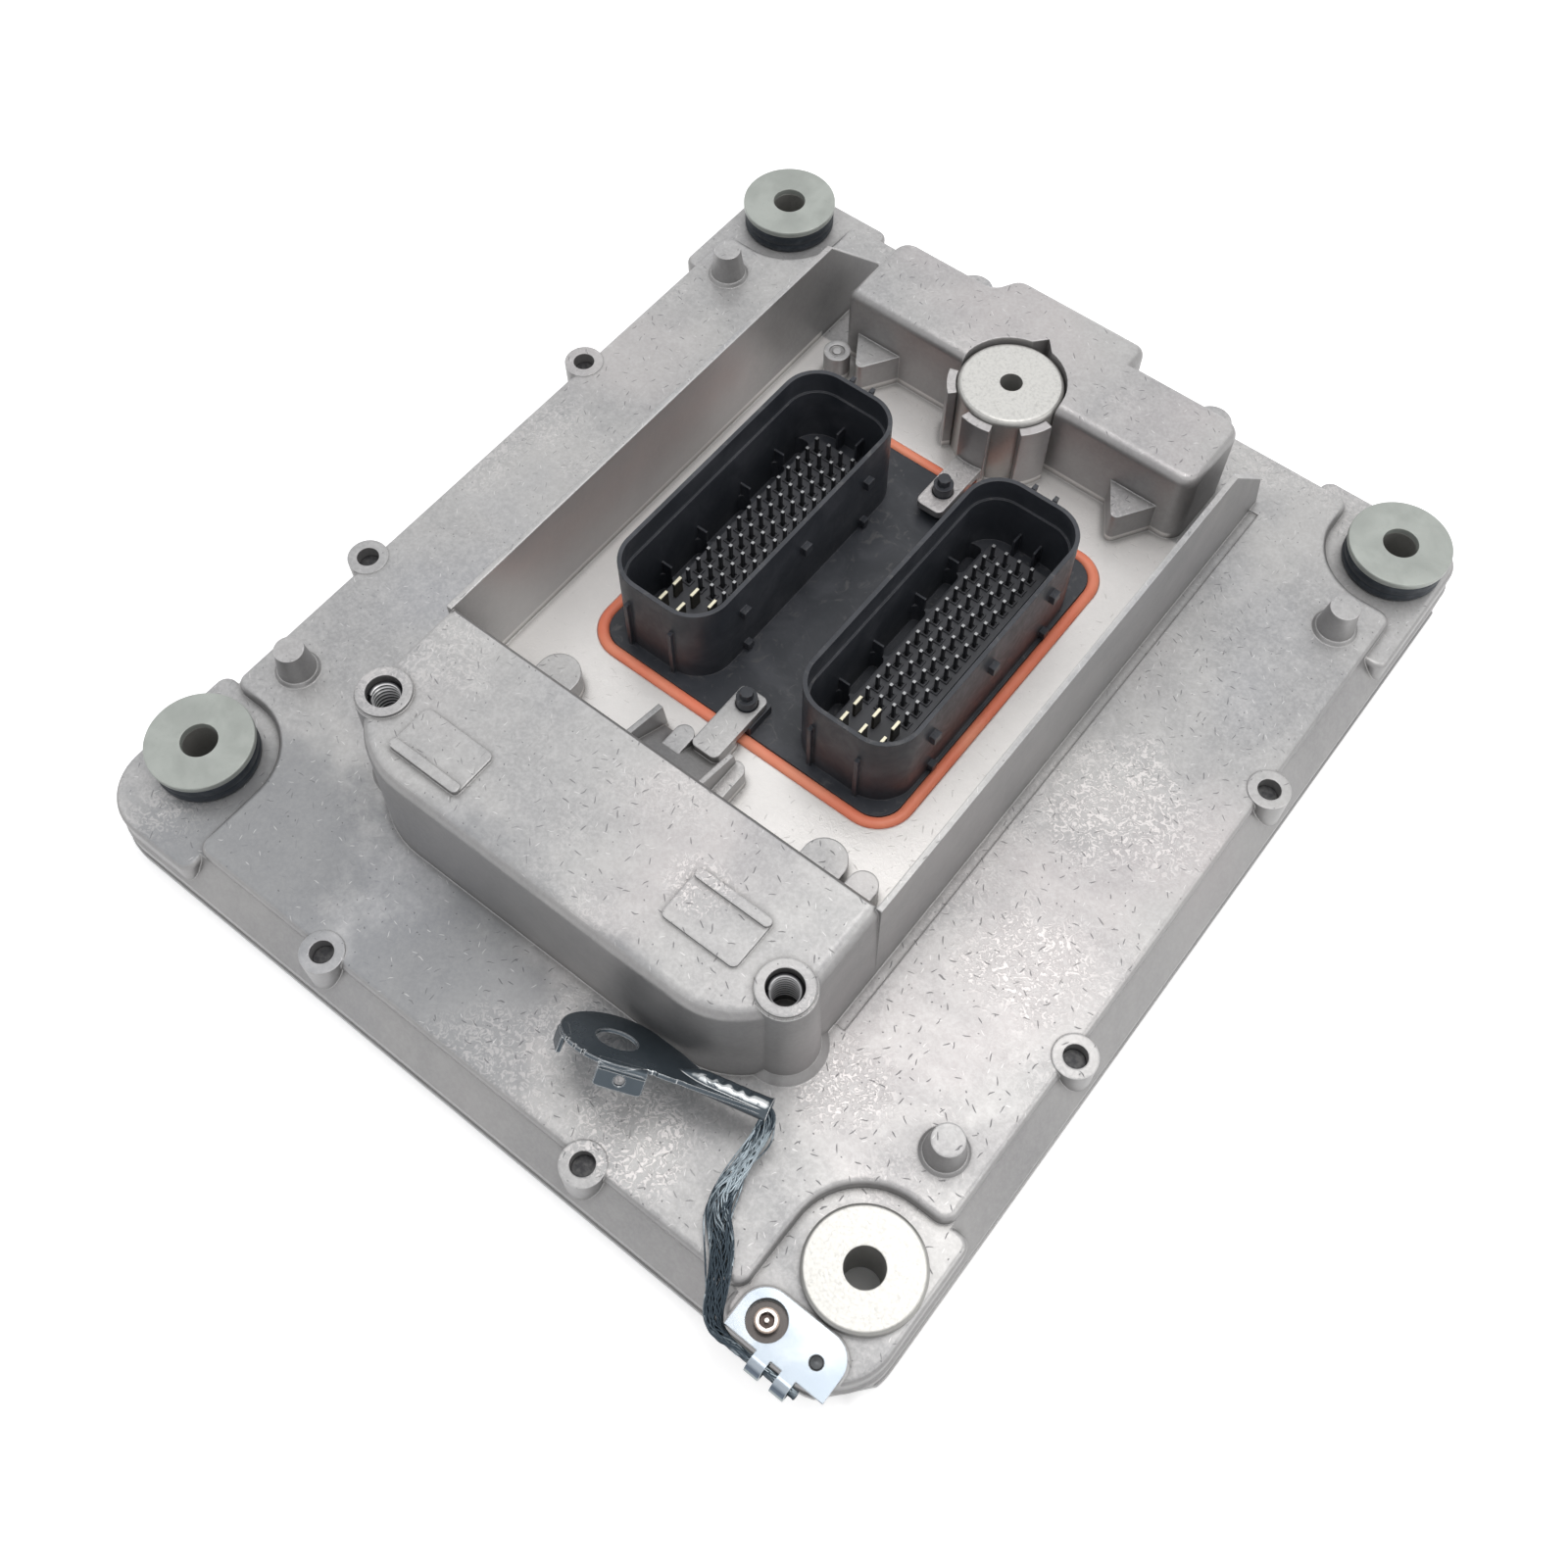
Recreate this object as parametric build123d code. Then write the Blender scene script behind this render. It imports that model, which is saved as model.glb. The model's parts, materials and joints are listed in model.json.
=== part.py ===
from build123d import *
import math
import os

# Engine control unit of a heavy engine. Millimetres, +Z up. The origin is at the centre of the
# four mounting axes, on the mounting plane, which is the underside of the isolators.

os.makedirs("parts", exist_ok=True)

# Mounting pattern
MOUNT_HALF_X = 99.5
MOUNT_HALF_Y = 115.0
MOUNT_BORE_RADIUS = 4.55

# Heights above the mounting plane
PLATE_LOW = 2.4
PLATE_THICKNESS = 2.6
GASKET_THICKNESS = 0.6
GASKET_SETBACK = 0.4
FLANGE_TOP = 10.0
PAD_TOP = 18.2
PLATEAU_TOP = 21.3
FLOOR_TOP = 27.5
FRONT_BLOCK_TOP = 54.8
REAR_BLOCK_TOP = 50.5
CASTING_LOW = PLATE_LOW + PLATE_THICKNESS + GASKET_THICKNESS

# Outline of the casting at the foot of its sloping flank
CASTING_HALF_WIDTH = MOUNT_HALF_X + 15.2
CASTING_FRONT = -(MOUNT_HALF_Y + 25.6)
CASTING_BACK = MOUNT_HALF_Y + 14.5
FRONT_CORNER_RADIUS = 15.2
REAR_CORNER_RADIUS = 9.0
PLATEAU_INSET = 6.2
PLATEAU_EDGE_RADIUS = 1.7
PLATE_OVERHANG = 0.5

# Corner pads
WELL_RADIUS = 17.4
WELL_NOSE_RADIUS = 3.5
PAD_INSET = 0.6
PAD_END_RADIUS = 3.2
PAD_EDGE_RADIUS = 1.4
FRONT_PAD_X = MOUNT_HALF_X - 19.1
FRONT_PAD_Y = -(MOUNT_HALF_Y - 19.1)
REAR_PAD_X = MOUNT_HALF_X - 26.5
REAR_PAD_Y = MOUNT_HALF_Y - 31.5
EAR_BORE_RADIUS = 9.6
EAR_POCKET_RADIUS = 12.4
EAR_CUT_X = MOUNT_HALF_X + 5.5
EAR_CUT_Y = MOUNT_HALF_Y + 14.5

# Isolators
WASHER_RADIUS = 13.3
WASHER_THICKNESS = 1.8
ISOLATOR_TOP = 26.0
RUBBER_RADIUS = 13.0
LOWER_RUBBER_RADIUS = 11.6
RUBBER_CLEARANCE = 0.1
SLEEVE_RADIUS = 6.6
SLEEVE_FLANGE = 1.6
CORNER_BUSH_TOP = 21.4
CORNER_BUSH_RADIUS = 13.5
CORNER_BUSH_FLANGE = 3.2
CORNER_BUSH_EDGE = 0.6

# Wall thicknesses and the hollow inside
WALL = 3.2
CAVITY_RIM = 11.7
CAVITY_CORNER_RADIUS = 22.0
FLOOR_THICKNESS = 4.0

# Screw lugs for the base plate
LUG_RADIUS = 5.3
LUG_BORE_RADIUS = 2.875
LUG_RISE = 0.3
LUG_EDGE_INSET = 5.85
SIDE_LUGS_Y = (-50.0, 34.3)
END_LUG_X = 39.3

# Conical posts
POST_X = MOUNT_HALF_X - 1.1
POST_Y = MOUNT_HALF_Y - 30.0
POST_TOP = 30.4
POST_TOP_RADIUS = 3.75
POST_FOOT_RADIUS = 5.05
POST_SKIRT = 0.9

# Front block and its threaded bosses
FRONT_BLOCK_HALF_WIDTH = 62.5
FRONT_BLOCK_FRONT = -103.5
FRONT_BLOCK_BACK = -59.4
FRONT_BLOCK_CORNER = 23.0
FRONT_BLOCK_EDGE = 3.0
FRONT_BLOCK_BACK_EDGE = 0.9
FRONT_HOLLOW_MARGIN = 4.4
FRONT_HOLLOW_CORNER = 4.0
BLOCK_DRAFT = 2.0
BOSS_X = 56.6
BOSS_Y = -87.0
BOSS_RISE = 1.0
BOSS_RING_RADIUS = 6.4
BOSS_TOP_RADIUS = 7.0
BOSS_FOOT_RADIUS = 8.2
BOSS_SKIRT_RADIUS = 10.4
BOSS_SKIRT_HEIGHT = 2.2
INSERT_RADIUS = 4.2
INSERT_BORE_RADIUS = 3.35
INSERT_LENGTH = 12.0
INSERT_SETBACK = 1.6
INSERT_CLEARANCE = 0.05
BOSS_BORE_DEPTH = 18.0
TILE_RISE = 0.8
TILE_CORNER = 1.5
TILE_BAR_RISE = 1.6
TILE_BAR_WIDTH = 2.4
TILE_BAR_CORNER = 1.1
LEFT_TILE_X = (-46.2, -26.2)
LEFT_TILE_DEPTHS = (7.2, 19.7)
RIGHT_TILE_X = (26.1, 46.0)
RIGHT_TILE_DEPTHS = (13.2, 26.5)

# Rear block
REAR_BLOCK_LEFT = -50.8
REAR_BLOCK_RIGHT = 53.9
REAR_BLOCK_FRONT = 77.2
REAR_BLOCK_BACK = 102.4
BULGE_BACK = 109.4
BULGE_LEFT = -20.0
BULGE_RIGHT = 21.5
BULGE_EASE = 2.0
REAR_BLOCK_EDGE = 2.8
NOTCH_DEPTH = 3.0
NOTCH_HALF_WIDTH = 3.6

# Ridges on both sides of the connector well
RIDGE_FOOT_INNER = 59.0
RIDGE_TOP_INNER = 60.6
RIDGE_TOP_OUTER = 62.0
RIDGE_FOOT_OUTER = 62.5
RIDGE_FRONT = FRONT_BLOCK_BACK - 2.0
RIDGE_SLOPE_START = 83.0
RIDGE_SLOPE_END = 104.0
RIDGE_SLOPE_LOW = 34.0
RIDGE_BACK = 107.6
GUTTER_EDGE = 65.2
GUTTER_DEPTH = 0.5

# Centre bush and the fingers round it
CENTRE_Y = 78.5
CENTRE_BUSH_RADIUS = 13.65
CENTRE_BUSH_TOP = 49.4
CENTRE_BUSH_EDGE = 1.5
CENTRE_BUSH_STEPS = 4
CENTRE_BORE_RADIUS = 2.9
CENTRE_BORE_DEPTH = 18.0
POCKET_RADIUS = 14.1
FINGER_CLEARANCE = 0.3
FINGER_THICKNESS = 2.3
FINGER_TOP = 48.0
FINGER_ANGLES = (211.5, 270.0, 328.5)
FINGER_HALF_ANGLE = 15.0

# Gussets and round bosses at the feet of the two blocks
GUSSET_X = 39.9
GUSSET_HALF_WIDTH = 7.4
REAR_GUSSET_TOP = 37.5
REAR_GUSSET_TIP = 67.2
REAR_GUSSET_NOSE = 1.5
FRONT_GUSSET_TOP = 35.0
FRONT_GUSSET_HALF_WIDTH = 5.5
FRONT_GUSSET_TIP = -45.8
SIDE_BOSS_REAR = (-48.5, 70.2)
SIDE_BOSS_REAR_TOP = 35.6
SIDE_BOSS_FRONT = (50.5, -51.0)
SIDE_BOSS_RADIUS = 3.6
DIMPLE_RADII = (1.2, 2.1)
DIMPLE_DEPTH = 0.5
FINS_X = (-13.6, 7.8)
FIN_THICKNESS = 1.3
FIN_TOP = 42.5
FIN_NOSE_TOP = 38.0
FIN_TOP_Y = -44.4
FIN_FOOT_Y = -42.9
LOBE_RADIUS = 2.5
RIGHT_LOBE = (9.2, -45.5, 34.0)
LEFT_LOBE = (-6.4, -44.9, 33.2)
RAMP_TOP = 40.0
RAMP_FOOT_Y = -44.6
RAMP_FOOT_TOP = 30.0

# Clip arms over the header
ARM_WIDTH = 7.7
ARM_TOP = 33.2
ARM_THICKNESS = 2.2
ARM_CORNER = 1.6
FRONT_ARM_ROOT = -45.9
FRONT_ARM_END = -25.5
REAR_ARM_END = 44.3
PEG_INSET = 3.7
REAR_PEG_INSET = 6.7
PEG_RADIUS = 2.6
PEG_CLEARANCE = 0.2
PEG_TOP = 38.2
PEG_TIP_RADIUS = 1.7
PEG_TIP_HEIGHT = 2.2
PEG_PAD_MARGIN = 0.5

# Connector header
HEADER_HALF_WIDTH = 43.8
HEADER_FRONT = -33.5
HEADER_BACK = 57.8
HEADER_CORNER = 7.0
HEADER_TOP = 28.0
SEAL_WIDTH = 3.1
SEAL_RISE = 1.1
SEAL_CLEARANCE = 0.05
SEAL_EDGE = 0.9
HEADER_FLANGE = 7.0
HEADER_FLANGE_THICKNESS = 3.0
SHROUD_INNER_X = 12.2
SHROUD_OUTER_X = 42.8
SHROUD_FRONT = -30.4
SHROUD_BACK = 50.6
SHROUD_CORNER = 10.0
SHROUD_RIM = 53.4
SHROUD_WALL = 1.1
SHROUD_STEP = 0.6
SHROUD_STEP_DEPTH = 6.4
SHROUD_FLOOR = 31.0
FRONT_RIBS_X = (20.0, 33.4)
FRONT_RIB_DEPTH = 1.0
FRONT_RIB_TOP = 44.5
BACK_RIBS_X = (24.3, 30.3)
BACK_RIB_DEPTH = 2.6
BACK_RIB_TOP = 52.4
BACK_RIB_NECK = 1.1
BACK_HOOK_HEIGHT = 3.0
OUTER_RIB_THICKNESS = 1.1
INNER_RIB_THICKNESS = 0.6
INNER_RIB_DEPTH = 3.0
INNER_RIB_TOP = 35.2
INNER_RIBS_Y = (-11.2, 2.5, 19.9, 33.8)
REAR_INNER_RIBS_X = (24.8, 30.8)
REAR_INNER_RIB_TOP = 37.6
POCKET_WIDTH = 4.1
POCKET_LOW = 25.0
POCKET_CORNER = 1.5
POCKET_ENDS = (-22.0, 44.0)
NUB_SIZE = 2.6
NUB_DEPTH = 1.6
NUB_HEIGHT = 44.3
NUBS_Y = (-15.0, 8.5, 33.8)
FOOT_NUBS_Y = (-14.2, 32.8)
FOOT_NUB_HEIGHT = 30.0
FOOT_NUB_SIZE = 2.0

# Pins
PIN_TOP = 38.4
PIN_WIDTH = 0.8
PIN_PITCH_X = 3.8
PIN_PITCH_Y = 4.0
SIGNAL_COLUMNS = 4
SIGNAL_ROWS = 14
SIGNAL_CENTRE_X = 27.5
SIGNAL_LAST_Y = 41.3
POWER_COLUMNS = 3
POWER_PITCH_X = 5.5
POWER_ROWS_Y = (-15.0, -20.3)
POWER_WIDTH = 0.8
POWER_LENGTH = 2.8
PIN_CLEARANCE = 0.06
SOLDER_GAP = 0.2
CARRIER_WIDTH = 16.6
CARRIER_FRONT = -23.6
CARRIER_BACK = 45.0
CARRIER_TOP = 33.0
CARRIER_CLEARANCE = 0.1
CARRIER_LIP = 1.2
CARRIER_LIP_THICKNESS = 1.6

# Circuit board and what stands on it
BOARD_TOP = 11.6
BOARD_THICKNESS = 1.6
BOARD_GAP = 3.0
BOARD_CORNER_RADIUS = 25.0
BOARD_POST_RADIUS = 3.6
BOARD_SCREW_RADIUS = 1.5
BOARD_SCREW_HEAD_RADIUS = 2.8
BOARD_SCREW_HEAD = 1.8
BOARD_SCREW_LENGTH = 5.0
BOARD_HOLE_CLEARANCE = 0.2
CHIP_EDGE = 0.6
BOARD_POSTS = (
    (MOUNT_HALF_X - 7.5, -20.0),
    (MOUNT_HALF_X - 39.5, -(MOUNT_HALF_Y + 3.0)),
    (MOUNT_HALF_X - 41.5, MOUNT_HALF_Y - 7.0),
)
CAN_HEADROOM = 4.0
FRONT_CAPACITOR_RADIUS = 8.0
FRONT_CAPACITOR_HEIGHT = FRONT_BLOCK_TOP - WALL - BOARD_TOP - CAN_HEADROOM
FRONT_CAPACITORS_X = (-36.0, -18.0, 0.0, 18.0, 36.0)
FRONT_CAPACITOR_Y = -81.0
REAR_CAPACITOR_RADIUS = 5.0
REAR_CAPACITOR_HEIGHT = REAR_BLOCK_TOP - WALL - BOARD_TOP - CAN_HEADROOM
REAR_CAPACITORS_X = (-40.0, -28.0, 28.0, 40.0)
REAR_CAPACITOR_Y = 88.6
PROCESSOR_SIZE = 28.0
PROCESSOR_HEIGHT = 3.4
PROCESSOR_CENTRE = (17.5 - MOUNT_HALF_X, 0.0)
MEMORY_SIZE = (18.0, 10.0, 1.2)
MEMORY_CENTRE = (17.5 - MOUNT_HALF_X, -30.0)
TRANSISTOR_SIZE = (10.0, 9.0, 4.4)
TRANSISTOR_X = MOUNT_HALF_X - 17.5
TRANSISTORS_Y = (-82.0, -68.0, -54.0, -40.0, 42.0, 56.0)
DRIVER_SIZE = (14.0, 14.0, 1.6)
DRIVER_INSETS = (21.5, 39.5)
DRIVER_Y = MOUNT_HALF_Y - 33.0

# Base plate screws
SCREW_HEAD_RADIUS = 4.2
SCREW_HEAD_HEIGHT = 1.9
SCREW_SHANK_RADIUS = 2.8
SCREW_REACH = 16.0
PLATE_HOLE_CLEARANCE = 0.3

# Earthing bracket and its screw
BRACKET_LEFT = MOUNT_HALF_X - 16.2
BRACKET_RIGHT = MOUNT_HALF_X + 9.2
BRACKET_BACK = -(MOUNT_HALF_Y + 14.2)
BRACKET_FRONT = -(MOUNT_HALF_Y + 26.4)
BRACKET_CORNER = 6.0
BRACKET_LOW = 19.0
BRACKET_THICKNESS = 1.2
BRACKET_BOSS_MARGIN = 0.5
GROUND_SCREW_X = MOUNT_HALF_X - 9.6
GROUND_SCREW_Y = -(MOUNT_HALF_Y + 20.6)
DISH_RADIUS = 4.5
DISH_WALL = 0.8
DISH_DEPTH = 1.4
GROUND_HEAD_RADIUS = 2.65
GROUND_HEAD_HEIGHT = 2.2
GROUND_SHANK_RADIUS = 2.0
GROUND_SHANK_LENGTH = 8.0
GROUND_SOCKET_RADIUS = 1.7
GROUND_PIN_RADIUS = 0.5
THREAD_CLEARANCE = 0.1
PEG_HOLE_X = MOUNT_HALF_X + 3.4
PEG_HOLE_Y = -(MOUNT_HALF_Y + 20.9)
LOCATING_PEG_RADIUS = 1.3
CRIMP_SPANS = ((MOUNT_HALF_X - 7.7, MOUNT_HALF_X - 4.1), (MOUNT_HALF_X - 1.2, MOUNT_HALF_X + 2.3))
CRIMP_AXIS = (-(MOUNT_HALF_Y + 28.1), 17.5)
CRIMP_WALL = 0.8
CRIMP_CLEARANCE = 0.25

# Braid and ring terminal
BRAID_RADIUS = 1.7
ARC_SHARE = 0.45
BRAID_POINTS = (
    (63.0, -104.45, 33.0),
    (67.4, -103.3, 32.8),
    (70.0, -106.9, 30.9),
    (68.9, -114.0, 27.8),
    (70.4, -122.8, 24.7),
    (71.9, -131.4, 24.2),
    (75.6, -137.7, 22.8),
    (80.4, -143.2, 19.7),
    (87.0, -143.5, 17.6),
    (95.0, -143.1, 17.5),
    (103.4, -143.15, 17.5),
)
RING_CENTRE = (30.7, -112.1, 33.5)
RING_ALONG = (0.967, 0.250, -0.040)
RING_DOWN = (-0.187, 0.599, -0.778)
RING_RADIUS = 12.6
RING_BORE_RADIUS = 4.65
RING_THICKNESS = 1.0
NECK_WIDTH = 9.0
NECK_END = 21.0
NECK_NEAR = 8.0
NECK_FAR_ANGLE = 55.0
BARREL_START = 18.0
BARREL_END = 36.0
BARREL_OFFSET = 1.0
BARREL_CLEARANCE = 0.1
BARREL_WALL = 0.75
TAB_WIDTH = 10.6
TAB_HEIGHT = 5.6
TAB_ANGLE = -72.0
TAB_OFFSET = 1.8
TAB_HOLE_RADIUS = 1.15
END_TAB_WIDTH = 6.0
END_TAB_HEIGHT = 4.2
END_TAB_ANGLE = -153.0


def slab(x_low, x_high, y_low, y_high, z_low, z_high, corner=0.0):
    """A plate with upright sides between the given limits."""
    width = x_high - x_low
    depth = y_high - y_low
    sheet = RectangleRounded(width, depth, corner) if corner else Rectangle(width, depth)
    middle = Pos((x_low + x_high) / 2, (y_low + y_high) / 2, z_low)
    return middle * extrude(sheet, z_high - z_low)


def rod(x, y, radius, z_low, z_high):
    """An upright cylinder."""
    return Pos(x, y, z_low) * extrude(Circle(radius), z_high - z_low)


def taper_rod(x, y, low_radius, high_radius, z_low, z_high):
    """An upright cone frustum."""
    height = z_high - z_low
    return Pos(x, y, (z_low + z_high) / 2) * Cone(low_radius, high_radius, height)


def top_edges(solid):
    """The edges that bound the highest flat face."""
    return solid.faces().sort_by(Axis.Z)[-1].edges()


def casting_outline(inset):
    """Plan outline of the casting, drawn in by inset all round."""
    half = CASTING_HALF_WIDTH - inset
    front = CASTING_FRONT + inset
    back = CASTING_BACK - inset
    sheet = Pos(0, (front + back) / 2) * Rectangle(2 * half, back - front)
    near = sheet.vertices().group_by(Axis.Y)[0]
    sheet = fillet(near, FRONT_CORNER_RADIUS - inset)
    far = sheet.vertices().group_by(Axis.Y)[-1]
    return fillet(far, max(REAR_CORNER_RADIUS - inset, 1.0))


def mount_axes():
    """The four mounting axes by the names of their corners."""
    return {
        "front_left": (-MOUNT_HALF_X, -MOUNT_HALF_Y),
        "front_right": (MOUNT_HALF_X, -MOUNT_HALF_Y),
        "rear_right": (MOUNT_HALF_X, MOUNT_HALF_Y),
        "rear_left": (-MOUNT_HALF_X, MOUNT_HALF_Y),
    }


def corner_well(x, y, radius):
    """Area round one mounting axis that opens to the two outer sides."""
    reach = 60.0
    side_x = math.copysign(1, x)
    side_y = math.copysign(1, y)
    area = Pos(x, y) * Circle(radius)
    outer = Rectangle(reach + radius, reach)
    area += Pos(x + side_x * (reach - radius) / 2, y + side_y * reach / 2) * outer
    inner = Rectangle(reach, radius)
    area += Pos(x + side_x * reach / 2, y - side_y * radius / 2) * inner
    return area


def ear_relief(x, y):
    """Area under a mounting ear where flange, gasket and base plate are cut away."""
    side_x = math.copysign(1, x)
    side_y = math.copysign(1, y)
    reach = 2 * CASTING_HALF_WIDTH - EAR_CUT_X
    rise = reach * (abs(CASTING_FRONT) - EAR_CUT_Y) / (CASTING_HALF_WIDTH - EAR_CUT_X)
    edge_y = abs(CASTING_FRONT) if y < 0 else CASTING_BACK
    corner = make_face(
        Polyline(
            (side_x * EAR_CUT_X, side_y * edge_y),
            (side_x * (EAR_CUT_X + reach), side_y * (edge_y - rise)),
            (side_x * (EAR_CUT_X + reach), side_y * (edge_y + reach)),
            (side_x * EAR_CUT_X, side_y * (edge_y + reach)),
            close=True,
        )
    )
    return corner + Pos(x, y) * Circle(EAR_POCKET_RADIUS)


def cut_corners(sheet, radius):
    """A plan sheet without its four corner wells."""
    for x, y in mount_axes().values():
        sheet -= corner_well(x, y, radius)
    return sheet


def plateau():
    """Raised middle of the casting, cut back in a curve round each mounting axis."""
    sheet = cut_corners(casting_outline(PLATEAU_INSET), WELL_RADIUS)
    edge_x = CASTING_HALF_WIDTH - PLATEAU_INSET
    nose_x = MOUNT_HALF_X - WELL_RADIUS
    nose_y = MOUNT_HALF_Y - WELL_RADIUS
    noses = [
        corner
        for corner in sheet.vertices()
        if (abs(abs(corner.X) - edge_x) < 0.01 and abs(abs(corner.Y) - nose_y) < 0.01)
        or (abs(abs(corner.X) - nose_x) < 0.01 and abs(corner.Y) > MOUNT_HALF_Y + 1)
    ]
    sheet = fillet(noses, WELL_NOSE_RADIUS)
    body = Pos(0, 0, PAD_TOP - 1) * extrude(sheet, PLATEAU_TOP - PAD_TOP + 1)
    return fillet(top_edges(body), PLATEAU_EDGE_RADIUS)


def corner_pads():
    """The four lower pads that the isolators stand on."""
    pads = []
    for x, y in mount_axes().values():
        side = math.copysign(1, x)
        front = y < 0
        inner_x = FRONT_PAD_X if front else REAR_PAD_X
        inner_y = FRONT_PAD_Y if front else REAR_PAD_Y
        far_x = CASTING_HALF_WIDTH + 5
        far_y = CASTING_FRONT - 5 if front else CASTING_BACK + 5
        area = Rectangle(far_x - inner_x, abs(far_y - inner_y))
        area = Pos(side * (far_x + inner_x) / 2, (far_y + inner_y) / 2) * area
        area = area & casting_outline(PAD_INSET)
        edge_y = CASTING_FRONT + PAD_INSET if front else CASTING_BACK - PAD_INSET
        edge_x = CASTING_HALF_WIDTH - PAD_INSET
        ends = [
            corner
            for corner in area.vertices()
            if (abs(abs(corner.X) - inner_x) < 0.01 and abs(corner.Y - edge_y) < 0.01)
            or (abs(abs(corner.X) - edge_x) < 0.01 and abs(corner.Y - inner_y) < 0.01)
        ]
        area = fillet(ends, PAD_END_RADIUS)
        pad = Pos(0, 0, FLANGE_TOP - 1) * extrude(area, PAD_TOP - FLANGE_TOP + 1)
        pads.append(fillet(top_edges(pad), PAD_EDGE_RADIUS))
    return pads


def lug_places():
    """Centres of the lugs that take the base plate screws."""
    side_x = CASTING_HALF_WIDTH - LUG_EDGE_INSET
    front_y = CASTING_FRONT + LUG_EDGE_INSET
    back_y = CASTING_BACK - LUG_EDGE_INSET
    places = [(side * side_x, y) for side in (-1, 1) for y in SIDE_LUGS_Y]
    places += [(side * END_LUG_X, y) for side in (-1, 1) for y in (front_y, back_y)]
    return places


def front_block():
    """Tall hollow block at the front, with its bosses added later."""
    depth = FRONT_BLOCK_BACK - FRONT_BLOCK_FRONT
    sheet = Pos(0, (FRONT_BLOCK_BACK + FRONT_BLOCK_FRONT) / 2)
    sheet = sheet * Rectangle(2 * FRONT_BLOCK_HALF_WIDTH, depth)
    sheet = fillet(sheet.vertices().group_by(Axis.Y)[0], FRONT_BLOCK_CORNER)
    height = FRONT_BLOCK_TOP - PLATEAU_TOP
    block = Pos(0, 0, PLATEAU_TOP) * extrude(sheet, height, taper=BLOCK_DRAFT)
    back_edge = top_edges(block).group_by(Axis.Y)[-1]
    block = chamfer(back_edge, FRONT_BLOCK_BACK_EDGE)
    rim = [edge for edge in top_edges(block) if edge.center().Y < FRONT_BLOCK_BACK - FRONT_BLOCK_EDGE]
    return fillet(rim, FRONT_BLOCK_EDGE)


def rear_block_sheet():
    """Plan of the rear block, with the pocket for the centre bush and its notch."""
    corners = (
        (REAR_BLOCK_LEFT, REAR_BLOCK_FRONT, 1.6),
        (REAR_BLOCK_RIGHT, REAR_BLOCK_FRONT, 4.5),
        (REAR_BLOCK_RIGHT, REAR_BLOCK_BACK, 5.0),
        (BULGE_RIGHT, REAR_BLOCK_BACK, 0.0),
        (BULGE_RIGHT, BULGE_BACK, 3.2),
        (BULGE_LEFT + BULGE_EASE, BULGE_BACK, 4.5),
        (BULGE_LEFT - BULGE_EASE, REAR_BLOCK_BACK, 4.5),
        (REAR_BLOCK_LEFT, REAR_BLOCK_BACK, 4.5),
    )
    sheet = make_face(Polyline(*[(x, y) for x, y, radius in corners], close=True))
    for x, y, radius in corners:
        if radius:
            near = [v for v in sheet.vertices() if abs(v.X - x) + abs(v.Y - y) < 0.01]
            sheet = fillet(near, radius)
    return sheet


def rear_block():
    """Hollow block at the back, open to the front round the centre bush."""
    low = FLOOR_TOP - FLOOR_THICKNESS
    height = REAR_BLOCK_TOP - low
    block = Pos(0, 0, low) * extrude(rear_block_sheet(), height)
    block = fillet(top_edges(block), REAR_BLOCK_EDGE)
    pocket = rod(0, CENTRE_Y, POCKET_RADIUS, FLOOR_TOP, REAR_BLOCK_TOP + 1)
    pocket_back = CENTRE_Y + POCKET_RADIUS - 1
    notch = make_face(
        Polyline(
            (-NOTCH_HALF_WIDTH, pocket_back),
            (NOTCH_HALF_WIDTH, pocket_back),
            (0, CENTRE_Y + POCKET_RADIUS + NOTCH_DEPTH),
            close=True,
        )
    )
    notch_low = REAR_BLOCK_TOP - 2 * WALL
    notch = Pos(0, 0, notch_low) * extrude(notch, 2 * WALL + 1)
    return block - pocket - notch


def ridge():
    """Thin tall wall on the right of the connector well, sloping down at the back."""
    section = make_face(
        Polyline(
            (RIDGE_FOOT_INNER, PLATEAU_TOP - 1),
            (RIDGE_FOOT_OUTER, PLATEAU_TOP - 1),
            (RIDGE_TOP_OUTER, FRONT_BLOCK_TOP),
            (RIDGE_TOP_INNER, FRONT_BLOCK_TOP),
            close=True,
        )
    )
    length = RIDGE_BACK - RIDGE_FRONT
    wall = Plane(origin=(0, RIDGE_BACK, 0), x_dir=(1, 0, 0), z_dir=(0, -1, 0))
    body = wall * extrude(section, length)
    high = FRONT_BLOCK_TOP + 5
    slope = make_face(
        Polyline(
            (RIDGE_SLOPE_START, FRONT_BLOCK_TOP),
            (RIDGE_SLOPE_START, high),
            (RIDGE_BACK + 5, high),
            (RIDGE_BACK + 5, PLATEAU_TOP),
            (RIDGE_BACK, PLATEAU_TOP),
            (RIDGE_SLOPE_END, RIDGE_SLOPE_LOW),
            close=True,
        )
    )
    cutter = Plane.YZ.offset(RIDGE_FOOT_INNER - 5) * extrude(slope, 15)
    return body - cutter


def finger(angle):
    """One thin cast finger beside the centre bush."""
    inner = CENTRE_BUSH_RADIUS + FINGER_CLEARANCE
    outer = inner + FINGER_THICKNESS
    low = math.radians(angle - FINGER_HALF_ANGLE)
    high = math.radians(angle + FINGER_HALF_ANGLE)
    reach = 2 * outer
    wedge = make_face(
        Polyline(
            (0, 0),
            (reach * math.cos(low), reach * math.sin(low)),
            (reach * math.cos(high), reach * math.sin(high)),
            close=True,
        )
    )
    sheet = (Circle(outer) - Circle(inner)) & wedge
    return Pos(0, CENTRE_Y, FLOOR_TOP - 1) * extrude(sheet, FINGER_TOP - FLOOR_TOP + 1)


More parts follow.
